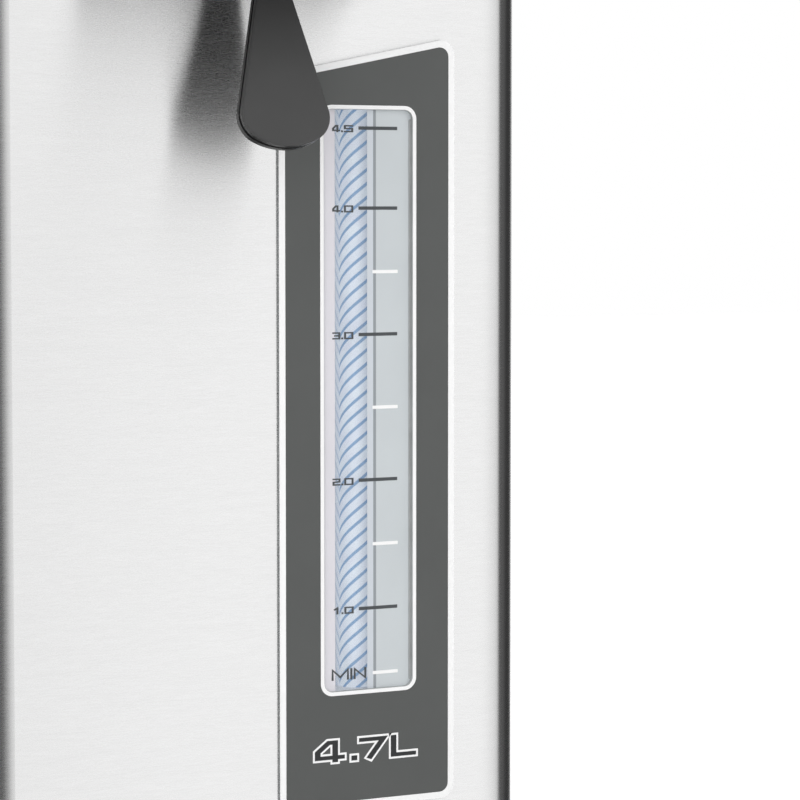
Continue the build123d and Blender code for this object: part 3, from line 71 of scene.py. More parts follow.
# no surface is a perfect mirror
MIN_ROUGH = 0.02


def srgb(r, g, b):
    """A colour picked as it looks on screen, 0 to 255, in linear light."""
    out = []
    for v in (r, g, b):
        v /= 255
        out.append(v / 12.92 if v <= 0.04045 else ((v + 0.055) / 1.055) ** 2.4)
    return (*out, 1.0)


class Graph:
    """A shader node tree with short ways to add and link nodes."""

    def __init__(self, tree):
        self.nodes = tree.nodes
        self.links = tree.links

    def node(self, kind, **values):
        """A new node. Each value is one of its properties, or else one of its inputs."""
        n = self.nodes.new(kind)
        for key, value in values.items():
            if hasattr(n, key):
                setattr(n, key, value)
            else:
                n.inputs[key.replace("_", " ")].default_value = value
        return n

    def link(self, output, socket):
        self.links.new(output, socket)

    def feed(self, value, socket):
        """Give a socket another node's output, or a constant."""
        if isinstance(value, bpy.types.NodeSocket):
            self.link(value, socket)
        else:
            socket.default_value = value

    def compute(self, operation, *values):
        """The result of a math node on outputs and constants."""
        n = self.node("ShaderNodeMath", operation=operation)
        for value, socket in zip(values, n.inputs):
            self.feed(value, socket)
        return n.outputs[0]

    def remap(self, value, source, target):
        """A value taken from one range to another, and held inside it."""
        n = self.node(
            "ShaderNodeMapRange", From_Min=source[0], From_Max=source[1], To_Min=target[0], To_Max=target[1]
        )
        self.link(value, n.inputs["Value"])
        return n.outputs["Result"]

    def blend(self, share, first, second):
        """A colour between two, by a share from 0 to 1."""
        n = self.node("ShaderNodeMix", data_type="RGBA")
        self.link(share, n.inputs[0])
        self.feed(first, n.inputs[MIX_FIRST])
        self.feed(second, n.inputs[MIX_SECOND])
        return n.outputs[MIX_RESULT]


class Mat(Graph):
    """A Principled material, kept in MATS under its name, with short ways to add procedural detail."""

    def __init__(self, name, color, rough, metallic=0.0, **sockets):
        self.mat = bpy.data.materials.new(name)
        self.mat.use_nodes = True
        super().__init__(self.mat.node_tree)
        self.bsdf = self.nodes["Principled BSDF"]
        self.color = color
        self.rough = rough
        self.relief = None
        self.bsdf.inputs["Base Color"].default_value = color
        self.bsdf.inputs["Roughness"].default_value = rough
        self.bsdf.inputs["Metallic"].default_value = metallic
        for key, value in sockets.items():
            self.bsdf.inputs[key.replace("_", " ")].default_value = value
        MATS[name] = self.mat

    def place(self, scale=(1, 1, 1)):
        """Object coordinates, stretched along the axes."""
        coords = self.node("ShaderNodeTexCoord")
        mapping = self.node("ShaderNodeMapping")
        mapping.inputs["Scale"].default_value = scale
        self.link(coords.outputs["Object"], mapping.inputs["Vector"])
        return mapping.outputs["Vector"]

    def noise(self, scale, detail=3.0, rough=0.5, stretch=(1, 1, 1)):
        n = self.node("ShaderNodeTexNoise", Scale=scale, Detail=detail, Roughness=rough)
        self.link(self.place(stretch), n.inputs["Vector"])
        return n.outputs["Fac"]

    def paint(self, color):
        self.link(color, self.bsdf.inputs["Base Color"])
        return color

    def tint(self, value, amount):
        """Vary the base colour by a noise, from darker to lighter."""
        low = tuple(max(v * (1 - amount), 0) for v in self.color[:3]) + (1.0,)
        high = tuple(min(v * (1 + amount), 1) for v in self.color[:3]) + (1.0,)
        return self.paint(self.blend(self.remap(value, NOISE_SPAN, (0.0, 1.0)), low, high))

    def vary_rough(self, value, amount):
        """Vary the roughness by a noise, to either side of the material's own."""
        ends = (max(self.rough - amount, MIN_ROUGH), min(self.rough + amount, 1.0))
        self.link(self.remap(value, NOISE_SPAN, ends), self.bsdf.inputs["Roughness"])

    def bump(self, value, strength, depth):
        """Add relief on top of the relief so far; its depth is in millimetres."""
        n = self.node("ShaderNodeBump", Strength=strength, Distance=depth * MM)
        self.link(value, n.inputs["Height"])
        if self.relief is not None:
            self.link(self.relief, n.inputs["Normal"])
        self.relief = n.outputs["Normal"]
        self.link(self.relief, self.bsdf.inputs["Normal"])


def plastic(name, color, rough, grain=900.0, depth=0.03, mottle=0.06, **sockets):
    """Moulded plastic: a fine spark texture, slight colour change and worn-smooth patches."""
    m = Mat(name, color, rough, **sockets)
    m.tint(m.noise(35, detail=4), mottle)
    m.vary_rough(m.noise(60, detail=5, rough=0.6), 0.07)
    m.bump(m.noise(grain, detail=2, rough=0.6), 0.5, depth)


def brushed(name, color, rough, stretch, aniso=0.6, relief=0.35):
    """Metal brushed along one direction: long fine scratches in its colour, roughness and relief."""
    m = Mat(name, color, rough, 1.0, Anisotropic=aniso, Anisotropic_Rotation=0.25)
    fine = m.noise(1.0, detail=2, rough=0.55, stretch=stretch)
    broad = m.noise(1.0, detail=3, rough=0.5, stretch=tuple(s * 0.16 for s in stretch))
    broad_share = 0.25
    both = m.node("ShaderNodeMix")
    for socket, value in ((0, broad_share), (2, fine), (3, broad)):
        m.feed(value, both.inputs[socket])
    m.tint(both.outputs[0], 0.05)
    m.vary_rough(fine, relief / 8)
    m.bump(fine, relief, 0.012)
    tangent = m.node("ShaderNodeTangent", direction_type="RADIAL", axis="Z")
    m.link(tangent.outputs[0], m.bsdf.inputs["Tangent"])


def metal(name, color, rough, scale=120.0):
    """Plated or cast metal with faint blotches."""
    m = Mat(name, color, rough, 1.0)
    m.tint(m.noise(scale * 0.4, detail=4, rough=0.6), 0.08)
    m.vary_rough(m.noise(scale, detail=5, rough=0.6), 0.1)
    m.bump(m.noise(scale * 8), 0.4, 0.01)


def rubber(name, color, rough=0.75, **sockets):
    """Rubber or silicone: a dull skin with uneven colour."""
    m = Mat(name, color, rough, **sockets)
    m.tint(m.noise(70, detail=5, rough=0.65), 0.18)
    m.vary_rough(m.noise(150), 0.1)
    m.bump(m.noise(1600, detail=2, rough=0.7), 0.5, 0.04)


def woven(name, color, rough, metallic, cells_per_metre):
    """A quilted or fibrous sheet with crinkles."""
    m = Mat(name, color, rough, metallic)
    cells = m.node("ShaderNodeTexVoronoi", Scale=cells_per_metre)
    m.link(m.place(), cells.inputs["Vector"])
    m.tint(m.noise(180, detail=6, rough=0.7), 0.12)
    m.bump(cells.outputs["Distance"], 0.7, 0.6)
    m.bump(m.noise(700, detail=4), 0.5, 0.1)


def board(name, resist, track):
    """A circuit board: solder resist over copper tracks."""
    m = Mat(name, resist, 0.3)
    tracks = m.node(
        "ShaderNodeTexBrick", Scale=1.0, Brick_Width=9 * MM, Row_Height=2.4 * MM, Mortar_Size=0.5 * MM
    )
    m.link(m.place(), tracks.inputs["Vector"])
    m.paint(m.blend(tracks.outputs["Fac"], resist, track))
    m.bump(tracks.outputs["Fac"], 0.5, 0.05)


def clear(name, color, face_alpha, edge_alpha):
    """A thin clear wall: nearly invisible face on, greyer where it is seen edge on."""
    m = Mat(name, color, 0.04)
    weight = m.node("ShaderNodeLayerWeight", Blend=0.3)
    alpha = m.remap(weight.outputs["Facing"], (0.0, 1.0), (face_alpha, edge_alpha))
    m.link(alpha, m.bsdf.inputs["Alpha"])
    m.vary_rough(m.noise(90), 0.02)


def opal(name, face_color, painted_edge_shade, rough):
    """Milky glass: pale face on, darker where it turns away, as painted shade for a glass tube's dark edges.
    """
    m = Mat(name, face_color, rough)
    weight = m.node("ShaderNodeLayerWeight", Blend=0.5)
    turned = m.remap(weight.outputs["Facing"], (0.55, 0.95), (0.0, 1.0))
    m.paint(m.blend(turned, m.tint(m.noise(120), 0.02), painted_edge_shade))
    m.vary_rough(m.noise(90), 0.02)


# The print on the level tube
PRINT_PITCH = 4.8 * MM
PRINT_LEAD = 52 * MM
PRINT_LINE = 0.9 * MM
PRINT_PHASE = 0.5
PRINT_FOLD = math.radians(74.6)
# below 1, the lines climb more steeply near the fold
PRINT_BEND = 0.7
# the lines are fainter beyond the fold, and change within this angle of it
FOLD_BLUR = 0.05
FAINT_INK = 0.45
# painted light: the band glows in its own colour
PRINT_PAINTED_GLOW = 0.3


def helix_print(name, paper, blotch, ink, centre):
    """Helical lines printed round the level tube, folded back at an angle from the front.

    The print glows a little: painted light, standing in for light that doesn't reach into the gauge."""
    m = Mat(name, paper, 0.35, Emission_Strength=PRINT_PAINTED_GLOW)
    coords = m.node("ShaderNodeTexCoord")
    parts = m.node("ShaderNodeSeparateXYZ")
    m.link(coords.outputs["Object"], parts.inputs[0])
    right = m.compute("SUBTRACT", parts.outputs[0], centre[0])
    front = m.compute("SUBTRACT", centre[1], parts.outputs[1])
    from_fold = m.compute("ADD", m.compute("ARCTAN2", right, front), PRINT_FOLD)
    bent = m.compute("POWER", m.compute("ABSOLUTE", from_fold), PRINT_BEND)
    climb = m.compute("MULTIPLY_ADD", bent, -PRINT_LEAD / (2 * math.pi), parts.outputs[2])
    turns = m.compute("MULTIPLY_ADD", climb, 1 / PRINT_PITCH, PRINT_PHASE)
    from_line = m.compute("PINGPONG", turns, 0.5)
    share = PRINT_LINE / PRINT_PITCH
    line = m.remap(from_line, (share / 2, share), (1.0, 0.0))
    fade = m.remap(from_fold, (-FOLD_BLUR, FOLD_BLUR), (FAINT_INK, 1.0))
    inked = m.compute("MULTIPLY", line, fade)
    mottled = m.blend(m.remap(m.noise(160), NOISE_SPAN, (0.0, 1.0)), paper, blotch)
    color = m.paint(m.blend(inked, mottled, ink))
    # the painted glow takes the print's own colour
    m.link(color, m.bsdf.inputs["Emission Color"])
    m.vary_rough(m.noise(200), 0.05)


tube_lo, tube_hi = (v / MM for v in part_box("level_tube"))
TUBE_X = (tube_lo.x + tube_hi.x) / 2
TUBE_Y = (tube_lo.y + tube_hi.y) / 2

brushed("steel", (0.89, 0.89, 0.89, 1), 0.27, (220, 220, 2800), aniso=1.0, relief=0.15)
brushed("pot", (0.72, 0.72, 0.71, 1), 0.24, (30, 30, 1100))
plastic("head", srgb(66, 67, 68), 0.42)
plastic("base", srgb(58, 59, 60), 0.48)
plastic("lever", srgb(66, 66, 66), 0.5, grain=1400, depth=0.012, mottle=0.04)
# painted shade: the lever's back and the pad's sides are darker, standing in for the shade in the groove
# between them
plastic("lever_painted_shade", srgb(40, 40, 40), 0.3, grain=1400, depth=0.012, mottle=0.04)
plastic("panel", srgb(84, 86, 85), 0.5, grain=1200, depth=0.012, mottle=0.035)
plastic("border", srgb(253, 253, 253), 0.4, grain=1200, depth=0.006, mottle=0.01)
plastic("ink", srgb(72, 76, 79), 0.5, grain=1500, depth=0.004, mottle=0.05)
plastic("ink_dark", srgb(38, 40, 41), 0.5, grain=1500, depth=0.004, mottle=0.05)
clear("window", srgb(244, 247, 250), face_alpha=0.08, edge_alpha=0.3)
# the tube's darker edge colour is painted shade
opal("tube", srgb(222, 225, 232), srgb(146, 152, 160), 0.12)
plastic("trough", srgb(248, 250, 253), 0.5, grain=800, depth=0.01, mottle=0.02)
# a grey rubber for the opening's facing, also used as painted shade on the panel's edge and in the window's
# right gap
rubber("seal_and_painted_shade", srgb(172, 175, 175), 0.6)
# painted light and shade on the window: lit trough walls, the tube's lit right side and its dark right edge
plastic("painted_light_left", srgb(226, 224, 230), 0.4, grain=800, depth=0.01, mottle=0.02)
plastic("painted_light_mid", srgb(208, 214, 221), 0.4, grain=800, depth=0.01, mottle=0.02)
plastic("painted_shade_line", srgb(150, 156, 161), 0.4, grain=800, depth=0.01, mottle=0.02)
plastic("painted_light_right", srgb(204, 210, 213), 0.4, grain=800, depth=0.01, mottle=0.03)
helix_print("band", srgb(216, 226, 234), srgb(205, 212, 226), srgb(98, 142, 186), mm(TUBE_X, TUBE_Y))
rubber("foot", srgb(46, 46, 46))
metal("zinc", (0.62, 0.63, 0.65, 1), 0.32)
rubber("silicone", srgb(214, 214, 208), 0.5, Subsurface_Weight=0.2)
metal("aluminium", (0.72, 0.72, 0.73, 1), 0.4, scale=60)
woven("fibre", srgb(220, 214, 196), 0.9, metallic=0.0, cells_per_metre=260)
woven("foil", (0.74, 0.74, 0.76, 1), 0.3, metallic=1.0, cells_per_metre=140)
plastic("phenolic", srgb(48, 42, 40), 0.4)
metal("motor", (0.55, 0.56, 0.58, 1), 0.3)
plastic("poly", srgb(196, 198, 194), 0.45, Subsurface_Weight=0.1)
plastic("overlay", srgb(30, 31, 34), 0.22, grain=500, depth=0.01)
metal("dispense", (0.6, 0.6, 0.61, 1), 0.35)
plastic("grey", srgb(128, 130, 132), 0.38)
plastic("lens", srgb(214, 60, 40), 0.15, grain=300, depth=0.01, Transmission_Weight=0.3)
board("board", srgb(20, 92, 52), srgb(60, 140, 84))
brushed("plate", (0.70, 0.70, 0.70, 1), 0.3, (900, 900, 20))
rubber("bellows", srgb(52, 52, 52))
metal("spring", (0.6, 0.6, 0.62, 1), 0.22)
plastic("inlet", srgb(42, 42, 42), 0.5)
metal("brass", (0.78, 0.70, 0.52, 1), 0.28)

SLOT_MATS = {
    "foot_rubber": "foot", "base_plastic": "base", "zinc_steel": "zinc", "sleeve_steel": "steel",
    "pot_steel": "pot", "silicone": "silicone", "aluminium": "aluminium", "fibre_pad": "fibre",
    "foil_jacket": "foil", "thermostat_black": "phenolic", "motor_steel": "motor", "pump_plastic": "poly",
    "gauge_grey": "panel", "window_clear": "window", "trough_white": "trough", "tube_glass": "tube",
    "head_plastic": "head", "lever_plastic": "lever", "control_black": "overlay", "dispense_cap": "dispense",
    "button_grey": "grey", "lens_red": "lens", "board_green": "board", "plate_silver": "plate",
    "bellows_black": "bellows", "spring_steel": "spring", "handle_plastic": "head", "inlet_plastic": "inlet",
    "brass": "brass",
}

# Nodes that look different from the rest of their slot
# the cup lever is darkened as painted shade
NODE_MATS = {"cup_lever": "lever_painted_shade"}

for entry in frame["record"]["subparts"]:
    node = frame["nodes"][entry["node"]]
    node.data.materials.clear()
    look = NODE_MATS.get(entry["node"]) or SLOT_MATS[entry["material_slot"]]
    node.data.materials.append(MATS[look])

# The lever pad's sides are as dark as the lever behind it: painted shade for the shaded groove between them
SHADED_SIDE_LIMIT = 0.4
pad = frame["nodes"]["lever_pad"].data
pad.materials.append(MATS["lever_painted_shade"])
for face in pad.polygons:
    if abs(face.normal.y) < SHADED_SIDE_LIMIT:
        face.material_index = 1


# Mesh helpers. An outline is a list of points on the front: x to the right and z up.

CORNER_STEPS = 10
SMALL_CORNER_STEPS = 5


def join(name, parts, mat, body, smooth=None):
    """One piece from several (points, faces) parts; edges sharper than smooth degrees stay sharp."""
    verts, faces = [], []
    for part_verts, part_faces in parts:
        start = len(verts)
        verts += [mm(*v) for v in part_verts]
        faces += [tuple(i + start for i in face) for face in part_faces]
    data = bpy.data.meshes.new(name)
    data.from_pydata(verts, [], faces)
    data.validate()
    bm = bmesh.new()
    bm.from_mesh(data)
    bmesh.ops.recalc_face_normals(bm, faces=bm.faces)
    bm.to_mesh(data)
    bm.free()
    if smooth:
        data.shade_smooth()
        data.set_sharp_from_angle(angle=math.radians(smooth))
    piece = bpy.data.objects.new(name, data)
    bpy.context.scene.collection.objects.link(piece)
    data.materials.append(MATS[mat])
    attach(piece, body)
    return piece


def box(x0, x1, z0, z1):
    """A rectangle's outline."""
    return [(x0, z0), (x1, z0), (x1, z1), (x0, z1)]


def rounded(points, radius, steps=CORNER_STEPS):
    """The outline of a convex polygon with its corners rounded."""
    out = []
    count = len(points)
    for i, p in enumerate(points):
        p = Vector(p)
        a = (Vector(points[i - 1]) - p).normalized()
        b = (Vector(points[(i + 1) % count]) - p).normalized()
        half = a.angle(b) / 2
        centre = p + (a + b).normalized() * radius / math.sin(half)
        start = p + a * radius / math.tan(half) - centre
        turn = math.pi - 2 * half
        side = 1 if a.cross(b) < 0 else -1
        for k in range(steps + 1):
            t = side * turn * k / steps
            c, s = math.cos(t), math.sin(t)
            out.append(centre + Vector((start.x * c - start.y * s, start.x * s + start.y * c)))
    return out


def inset(points, d):
    """A convex polygon, listed anticlockwise, with every side moved inwards."""
    out = []
    count = len(points)
    for i in range(count):
        a, p, b = (Vector(points[j % count]) for j in (i - 1, i, i + 1))
        n1 = Vector((-(p - a).y, (p - a).x)).normalized()
        n2 = Vector((-(b - p).y, (b - p).x)).normalized()
        out.append(tuple(p + (n1 + n2) * d / (1 + n1.dot(n2))))
    return out


def prism(outline, front, back):
    """A solid from an outline, between two depths along Y."""
    n = len(outline)
    verts = [(p[0], front, p[1]) for p in outline] + [(p[0], back, p[1]) for p in outline]
    faces = [tuple(range(n)), tuple(range(2 * n - 1, n - 1, -1))]
    faces += [(i, i + n, (i + 1) % n + n, (i + 1) % n) for i in range(n)]
    return verts, faces


def prism_ring(outer, inner, front, back):
    """A solid frame between two outlines with the same number of points."""
    n = len(outer)
    verts = []
    for loop, depth in ((outer, front), (inner, front), (outer, back), (inner, back)):
        verts += [(p[0], depth, p[1]) for p in loop]
    faces = []
    for i in range(n):
        j = (i + 1) % n
        faces += [(i, j, n + j, n + i), (2 * n + j, 2 * n + i, 3 * n + i, 3 * n + j)]
        faces += [(j, i, 2 * n + i, 2 * n + j), (n + i, n + j, 3 * n + j, 3 * n + i)]
    return verts, faces


def layer(surface, out, into):
    """The front and back of a thin layer that stands out from a surface and reaches into it."""
    return {"front": surface - out, "back": surface + into}


# Lettering

# keeps a stroke's mitre short where its line turns sharply
MITRE_LIMIT = 0.35
# each next stroke of a character stands this much further out, so that crossing faces don't coincide
STROKE_STEP = 0.006
# a full stop's height, in stroke widths
STOP_HEIGHT = 1.25

# Square, wide figures drawn in a box 1 high; x is in units of the box's own width. None closes a line.
GLYPHS = {
    "0": [[(0, 0), (1, 0), (1, 1), (0, 1), None]],
    "1": [[(0.15, 0.72), (0.62, 1), (0.62, 0)]],
    "2": [[(0, 1), (1, 1), (1, 0.52), (0, 0.48), (0, 0), (1, 0)]],
    "3": [[(0, 1), (1, 1), (1, 0), (0, 0)], [(0.3, 0.5), (1, 0.5)]],
    "4": [[(0.72, 1), (0.45, 1), (0, 0.5), (0, 0.16), (1, 0.16)], [(0.72, 0), (0.72, 1)]],
    "5": [[(1, 1), (0, 1), (0, 0.52), (1, 0.52), (1, 0), (0, 0)]],
    "7": [[(0, 1), (1, 1), (0.38, 0)]],
    "L": [[(0, 1), (0, 0), (1, 0)]],
    "M": [[(0, 0), (0, 1), (0.5, 0.22), (1, 1), (1, 0)]],
    "I": [[(0.5, 0), (0.5, 1)]],
    "N": [[(0, 0), (0, 1), (1, 0), (1, 1)]],
}


def ribbon(points, width, closed, aspect):
    """Both sides of a stroke along a line, mitred at its corners. aspect widens upright strokes."""
    line = [Vector((p[0] / aspect, p[1])) for p in points]
    left, right = [], []
    n = len(line)
    for i, p in enumerate(line):
        before = (p - line[i - 1]).normalized() if closed or i else None
        after = (line[(i + 1) % n] - p).normalized() if closed or i < n - 1 else None
        a, b = before or after, after or before
        n1, n2 = Vector((-a.y, a.x)), Vector((-b.y, b.x))
        shift = (n1 + n2) / max(1 + n1.dot(n2), MITRE_LIMIT) * width / 2
        left.append(p + shift)
        right.append(p - shift)
    return [[(p.x * aspect, p.y) for p in side] for side in (left, right)]


def stroke(points, width, front, back, closed, aspect):
    """A solid stroke along a line."""
    left, right = ribbon(points, width, closed, aspect)
    if closed:
        return prism_ring(left, right, front, back)
    return prism(left + right[::-1], front, back)


def stretch_ends(points, wide, thick, grow):
    """Run an open stroke's ends out to the edge of the figure's box."""
    out = list(points)
    for end, other in ((0, 1), (-1, -2)):
        d = Vector(out[end]) - Vector(out[other])
        d.normalize()
        runs_level = abs(d.x) > 0.9
        reach = (wide if runs_level else thick) / 2 + grow
        out[end] = tuple(Vector(out[end]) + d * reach)
    return out


def write(text, spans, base, cap, thick, wide, front, back, grow=0.0):
    """Characters on a base line, cap high, with the left and right of each one's ink in spans.

    thick and wide are the widths of level and upright strokes. grow adds an outline on every side."""
    solids = []
    width = thick + 2 * grow
    aspect = (wide + 2 * grow) / width
    for char, (x0, x1) in zip(text, spans):
        if char == ".":
            stop = box(x0 - grow, x1 + grow, base - grow, base + thick * STOP_HEIGHT + grow)
            solids.append(prism(stop, front, back))
            continue
        left, run = x0 + wide / 2, x1 - x0 - wide
        low, rise = base + thick / 2, cap - thick
        for order, line in enumerate(GLYPHS[char]):
            closed = line[-1] is None
            points = [(left + p[0] * run, low + p[1] * rise) for p in line if p]
            if not closed:
                points = stretch_ends(points, wide, thick, grow)
            solids.append(stroke(points, width, front - STROKE_STEP * order, back, closed, aspect))
    return solids


# Gauge panel: white borders, painted shade at the panel's edge and in the window's right gap, painted light
# and shade on the window, marks, figures and the printed band on the tube

panel_lo, panel_hi = (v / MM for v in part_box("gauge_panel"))
window_lo, window_hi = (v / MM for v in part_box("gauge_window"))
PANEL_FRONT = panel_lo.y
WINDOW_FRONT = window_lo.y
# the panel's top is lower on its left by this much
PANEL_DROP = 13.7
PANEL_CORNER = 5.0
PANEL_SLOPE = math.atan2(PANEL_DROP, panel_hi.x - panel_lo.x)
# the rounded corner tops out below the point where the two straight edges would meet
RIGHT_TOP = panel_hi.z + PANEL_CORNER * (math.tan(PANEL_SLOPE) + 1 / math.cos(PANEL_SLOPE) - 1)
panel_outline = [
    (panel_lo.x, panel_lo.z), (panel_hi.x, panel_lo.z),
    (panel_hi.x, RIGHT_TOP), (panel_lo.x, RIGHT_TOP - PANEL_DROP),
]
# the window's edge lies behind the panel
WINDOW_LAP = 1.5
OPENING_CORNER = 3.2
open_left, open_low = window_lo.x + WINDOW_LAP, window_lo.z + WINDOW_LAP
open_right, open_high = window_hi.x - WINDOW_LAP, window_hi.z - WINDOW_LAP
opening = box(open_left, open_right, open_low, open_high)

# the white border stands out past the panel's left edge and top
BORDER_LAP = 0.45
BORDER_RISE = 0.25
BORDER_WIDTH = 2.15
BORDER_GROW = 0.1
BORDER_INNER_CORNER = 3.3
BORDER_LAYER = layer(PANEL_FRONT, out=0.12, into=0.05)
border_top = RIGHT_TOP + BORDER_RISE
border_left = panel_lo.x - BORDER_LAP
border_outline = [
    (border_left, panel_lo.z), (panel_hi.x, panel_lo.z), (panel_hi.x, border_top),
    (border_left, border_top - PANEL_DROP - BORDER_LAP * math.tan(PANEL_SLOPE)),
]
border = prism_ring(
    rounded(inset(border_outline, -BORDER_GROW), PANEL_CORNER + BORDER_GROW),
    rounded(inset(border_outline, BORDER_WIDTH), BORDER_INNER_CORNER), **BORDER_LAYER
)
join("panel_border", [border], "border", "housing")

# the panel's side wall, in the seal's grey: painted shade, for the thin shaded line along the white border's
# outer edge
EDGE_THICK = 0.15
EDGE_CORNER = PANEL_CORNER + 0.1
edge = prism_ring(
    rounded(inset(panel_outline, -EDGE_THICK), EDGE_CORNER), rounded(panel_outline, PANEL_CORNER),
    BORDER_LAYER["back"], panel_hi.y
)
join("panel_edge", [edge], "seal_and_painted_shade", "housing")

RIM_WIDTH = 1.3
RIM_CORNER = 4.4
rim = prism_ring(
    rounded(inset(opening, -RIM_WIDTH), RIM_CORNER), rounded(opening, OPENING_CORNER), **BORDER_LAYER
)
join("window_border", [rim], "border", "housing")

# a grey strip inside the opening's right edge: painted shade, for the shadow in the gap between the window
# and the panel
SHADE_STRIP_LEFT, SHADE_STRIP_RIGHT = open_right - 1.05, open_right - 0.05
SHADE_STRIP_LOW, SHADE_STRIP_HIGH = open_low + 2.2, open_high - 3.2
SHADE_STRIP_CORNER = 0.5
shade_strip = rounded(box(SHADE_STRIP_LEFT, SHADE_STRIP_RIGHT, SHADE_STRIP_LOW, SHADE_STRIP_HIGH), SHADE_STRIP_CORNER, SMALL_CORNER_STEPS)
seal_and_painted_shade = prism(shade_strip, **layer(WINDOW_FRONT, out=0.25, into=0.02))
join("window_shade_strip", [seal_and_painted_shade], "seal_and_painted_shade", "housing")

# the opening's side wall, faced in the seal's grey
LINER_OUT = 0.02
LINER_IN = 0.12
LINER_CORNER = 3.1
LINER_FRONT = PANEL_FRONT - 0.1
liner = prism_ring(
    rounded(inset(opening, -LINER_OUT), OPENING_CORNER + LINER_OUT),
    rounded(inset(opening, LINER_IN), LINER_CORNER), LINER_FRONT, WINDOW_FRONT
)
join("window_liner", [liner], "seal_and_painted_shade", "housing")


def across(*spans):
    """Widths given from the tube's middle, to the left and right."""
    return [(TUBE_X + low, TUBE_X + high) for low, high in spans]


# Opaque sheets on the window beside the clear slit that shows the tube: painted light in the flat colours of
# the lit trough walls behind them, a painted light strip over the tube's right side and a painted shade line
# along its right edge
PAINTED_LIGHT_MARGIN = 1.0
PAINTED_LIGHT_LAYER = layer(WINDOW_FRONT, out=0.03, into=0.01)
WINDOW_PAINTED_LIGHT = [
    ("painted_light_left", window_lo.x + PAINTED_LIGHT_MARGIN, TUBE_X - 12.15),
    ("painted_light_mid", TUBE_X - 0.05, TUBE_X + 2.25),
    ("painted_shade_line", TUBE_X + 2.25, TUBE_X + 3.3),
    ("painted_light_right", TUBE_X + 3.3, window_hi.x - PAINTED_LIGHT_MARGIN),
]
for look, low, high in WINDOW_PAINTED_LIGHT:
    sheet = box(low, high, window_lo.z + PAINTED_LIGHT_MARGIN, window_hi.z - PAINTED_LIGHT_MARGIN)
    join("window_" + look, [prism(sheet, **PAINTED_LIGHT_LAYER)], look, "housing")

# The marks' figures and heights. Those with a figure are dark and the others white.
MARKS = [
    ("4.5", 272.45), ("4.0", 244.95), ("", 223.0), ("3.0", 201.35), ("", 176.0),
    ("2.0", 150.85), ("", 128.45), ("1.0", 106.1), ("", 83.3),
]
MARK_HALF = 0.58
MARK_CORNER = 0.25
INK_LAYER = layer(WINDOW_FRONT, out=0.08, into=0.02)
DARK_MARK, WHITE_MARK = across((-3.25, 11.35), (1.95, 11.55))
LEVEL_SPANS = across((-13.1, -10.1), (-9.75, -9.05), (-8.7, -5.2))
FIGURE_DROP = 1.5
MIN_SPANS = across((-13.55, -7.0), (-6.45, -5.75), (-5.25, -0.45))
dark, white, figures = [], [], []
for text, z in MARKS:
    if text:
        dark.append(prism(box(*DARK_MARK, z - MARK_HALF, z + MARK_HALF), **INK_LAYER))
        figures += write(text, LEVEL_SPANS, z - FIGURE_DROP, cap=2.45, thick=0.5, wide=0.75, **INK_LAYER)
    else:
        bar = rounded(box(*WHITE_MARK, z - MARK_HALF, z + MARK_HALF), MARK_CORNER, SMALL_CORNER_STEPS)
        white.append(prism(bar, **INK_LAYER))
join("gauge_marks_dark", dark, "ink", "housing")
join("gauge_marks_white", white, "border", "housing")
figures += write("MIN", MIN_SPANS, base=81.6, cap=3.9, thick=0.6, wide=0.8, **INK_LAYER)
join("gauge_figures", figures, "ink", "housing")

capacity = {
    "text": "4.7L", "spans": across((-20.35, -9.15), (-6.65, -4.45), (-3.75, 6.55), (8.35, 18.05)),
    "base": 53.4, "cap": 7.6, "thick": 1.35, "wide": 2.1,
}
halo = write(**capacity, **layer(PANEL_FRONT, out=0.07, into=0.03), grow=0.72)
join("capacity_outline", halo, "border", "housing")
fill = write(**capacity, **layer(PANEL_FRONT, out=0.14, into=0.03))
join("capacity_figure", fill, "ink_dark", "housing")


def tube_band(radius, wall, start, end, z0, z1, steps=48):
    """A strip of a cylinder wall round the level tube's centre, between two angles from +Y."""
    verts = []
    for z in (z0, z1):
        for r in (radius, radius - wall):
            for k in range(steps + 1):
                a = math.radians(start + (end - start) * k / steps)
                verts.append((TUBE_X + r * math.sin(a), TUBE_Y + r * math.cos(a), z))
    n = steps + 1
    faces = []
    for k in range(steps):
        a, b, c, d = (i * n + k for i in range(4))
        faces += [(a, a + 1, c + 1, c), (b + 1, b, d, d + 1), (a + 1, a, b, b + 1), (c, c + 1, d + 1, d)]
    faces += [(0, 2 * n, 3 * n, n), (steps, n + steps, 3 * n + steps, 2 * n + steps)]
    return verts, faces


# The print lies just outside the tube, on the side that can be seen
BAND_RADIUS = 7.06
BAND_WALL = 0.05
BAND_ANGLES = (60, 300)
BAND_MARGIN = 0.4
band = tube_band(BAND_RADIUS, BAND_WALL, *BAND_ANGLES, window_lo.z + BAND_MARGIN, window_hi.z - BAND_MARGIN)
join("tube_print", [band], "band", "housing", smooth=40)


# Springs and bellows on the lid

PER_TURN = 28
AROUND_WIRE = 8
AROUND_LATHE = 72
PER_FOLD = 8
# closed turns at each end of a spring, and their pitch in wire widths
END_TURNS = 1.1
END_PITCH = 1.05
SOFT_SMOOTH = 60


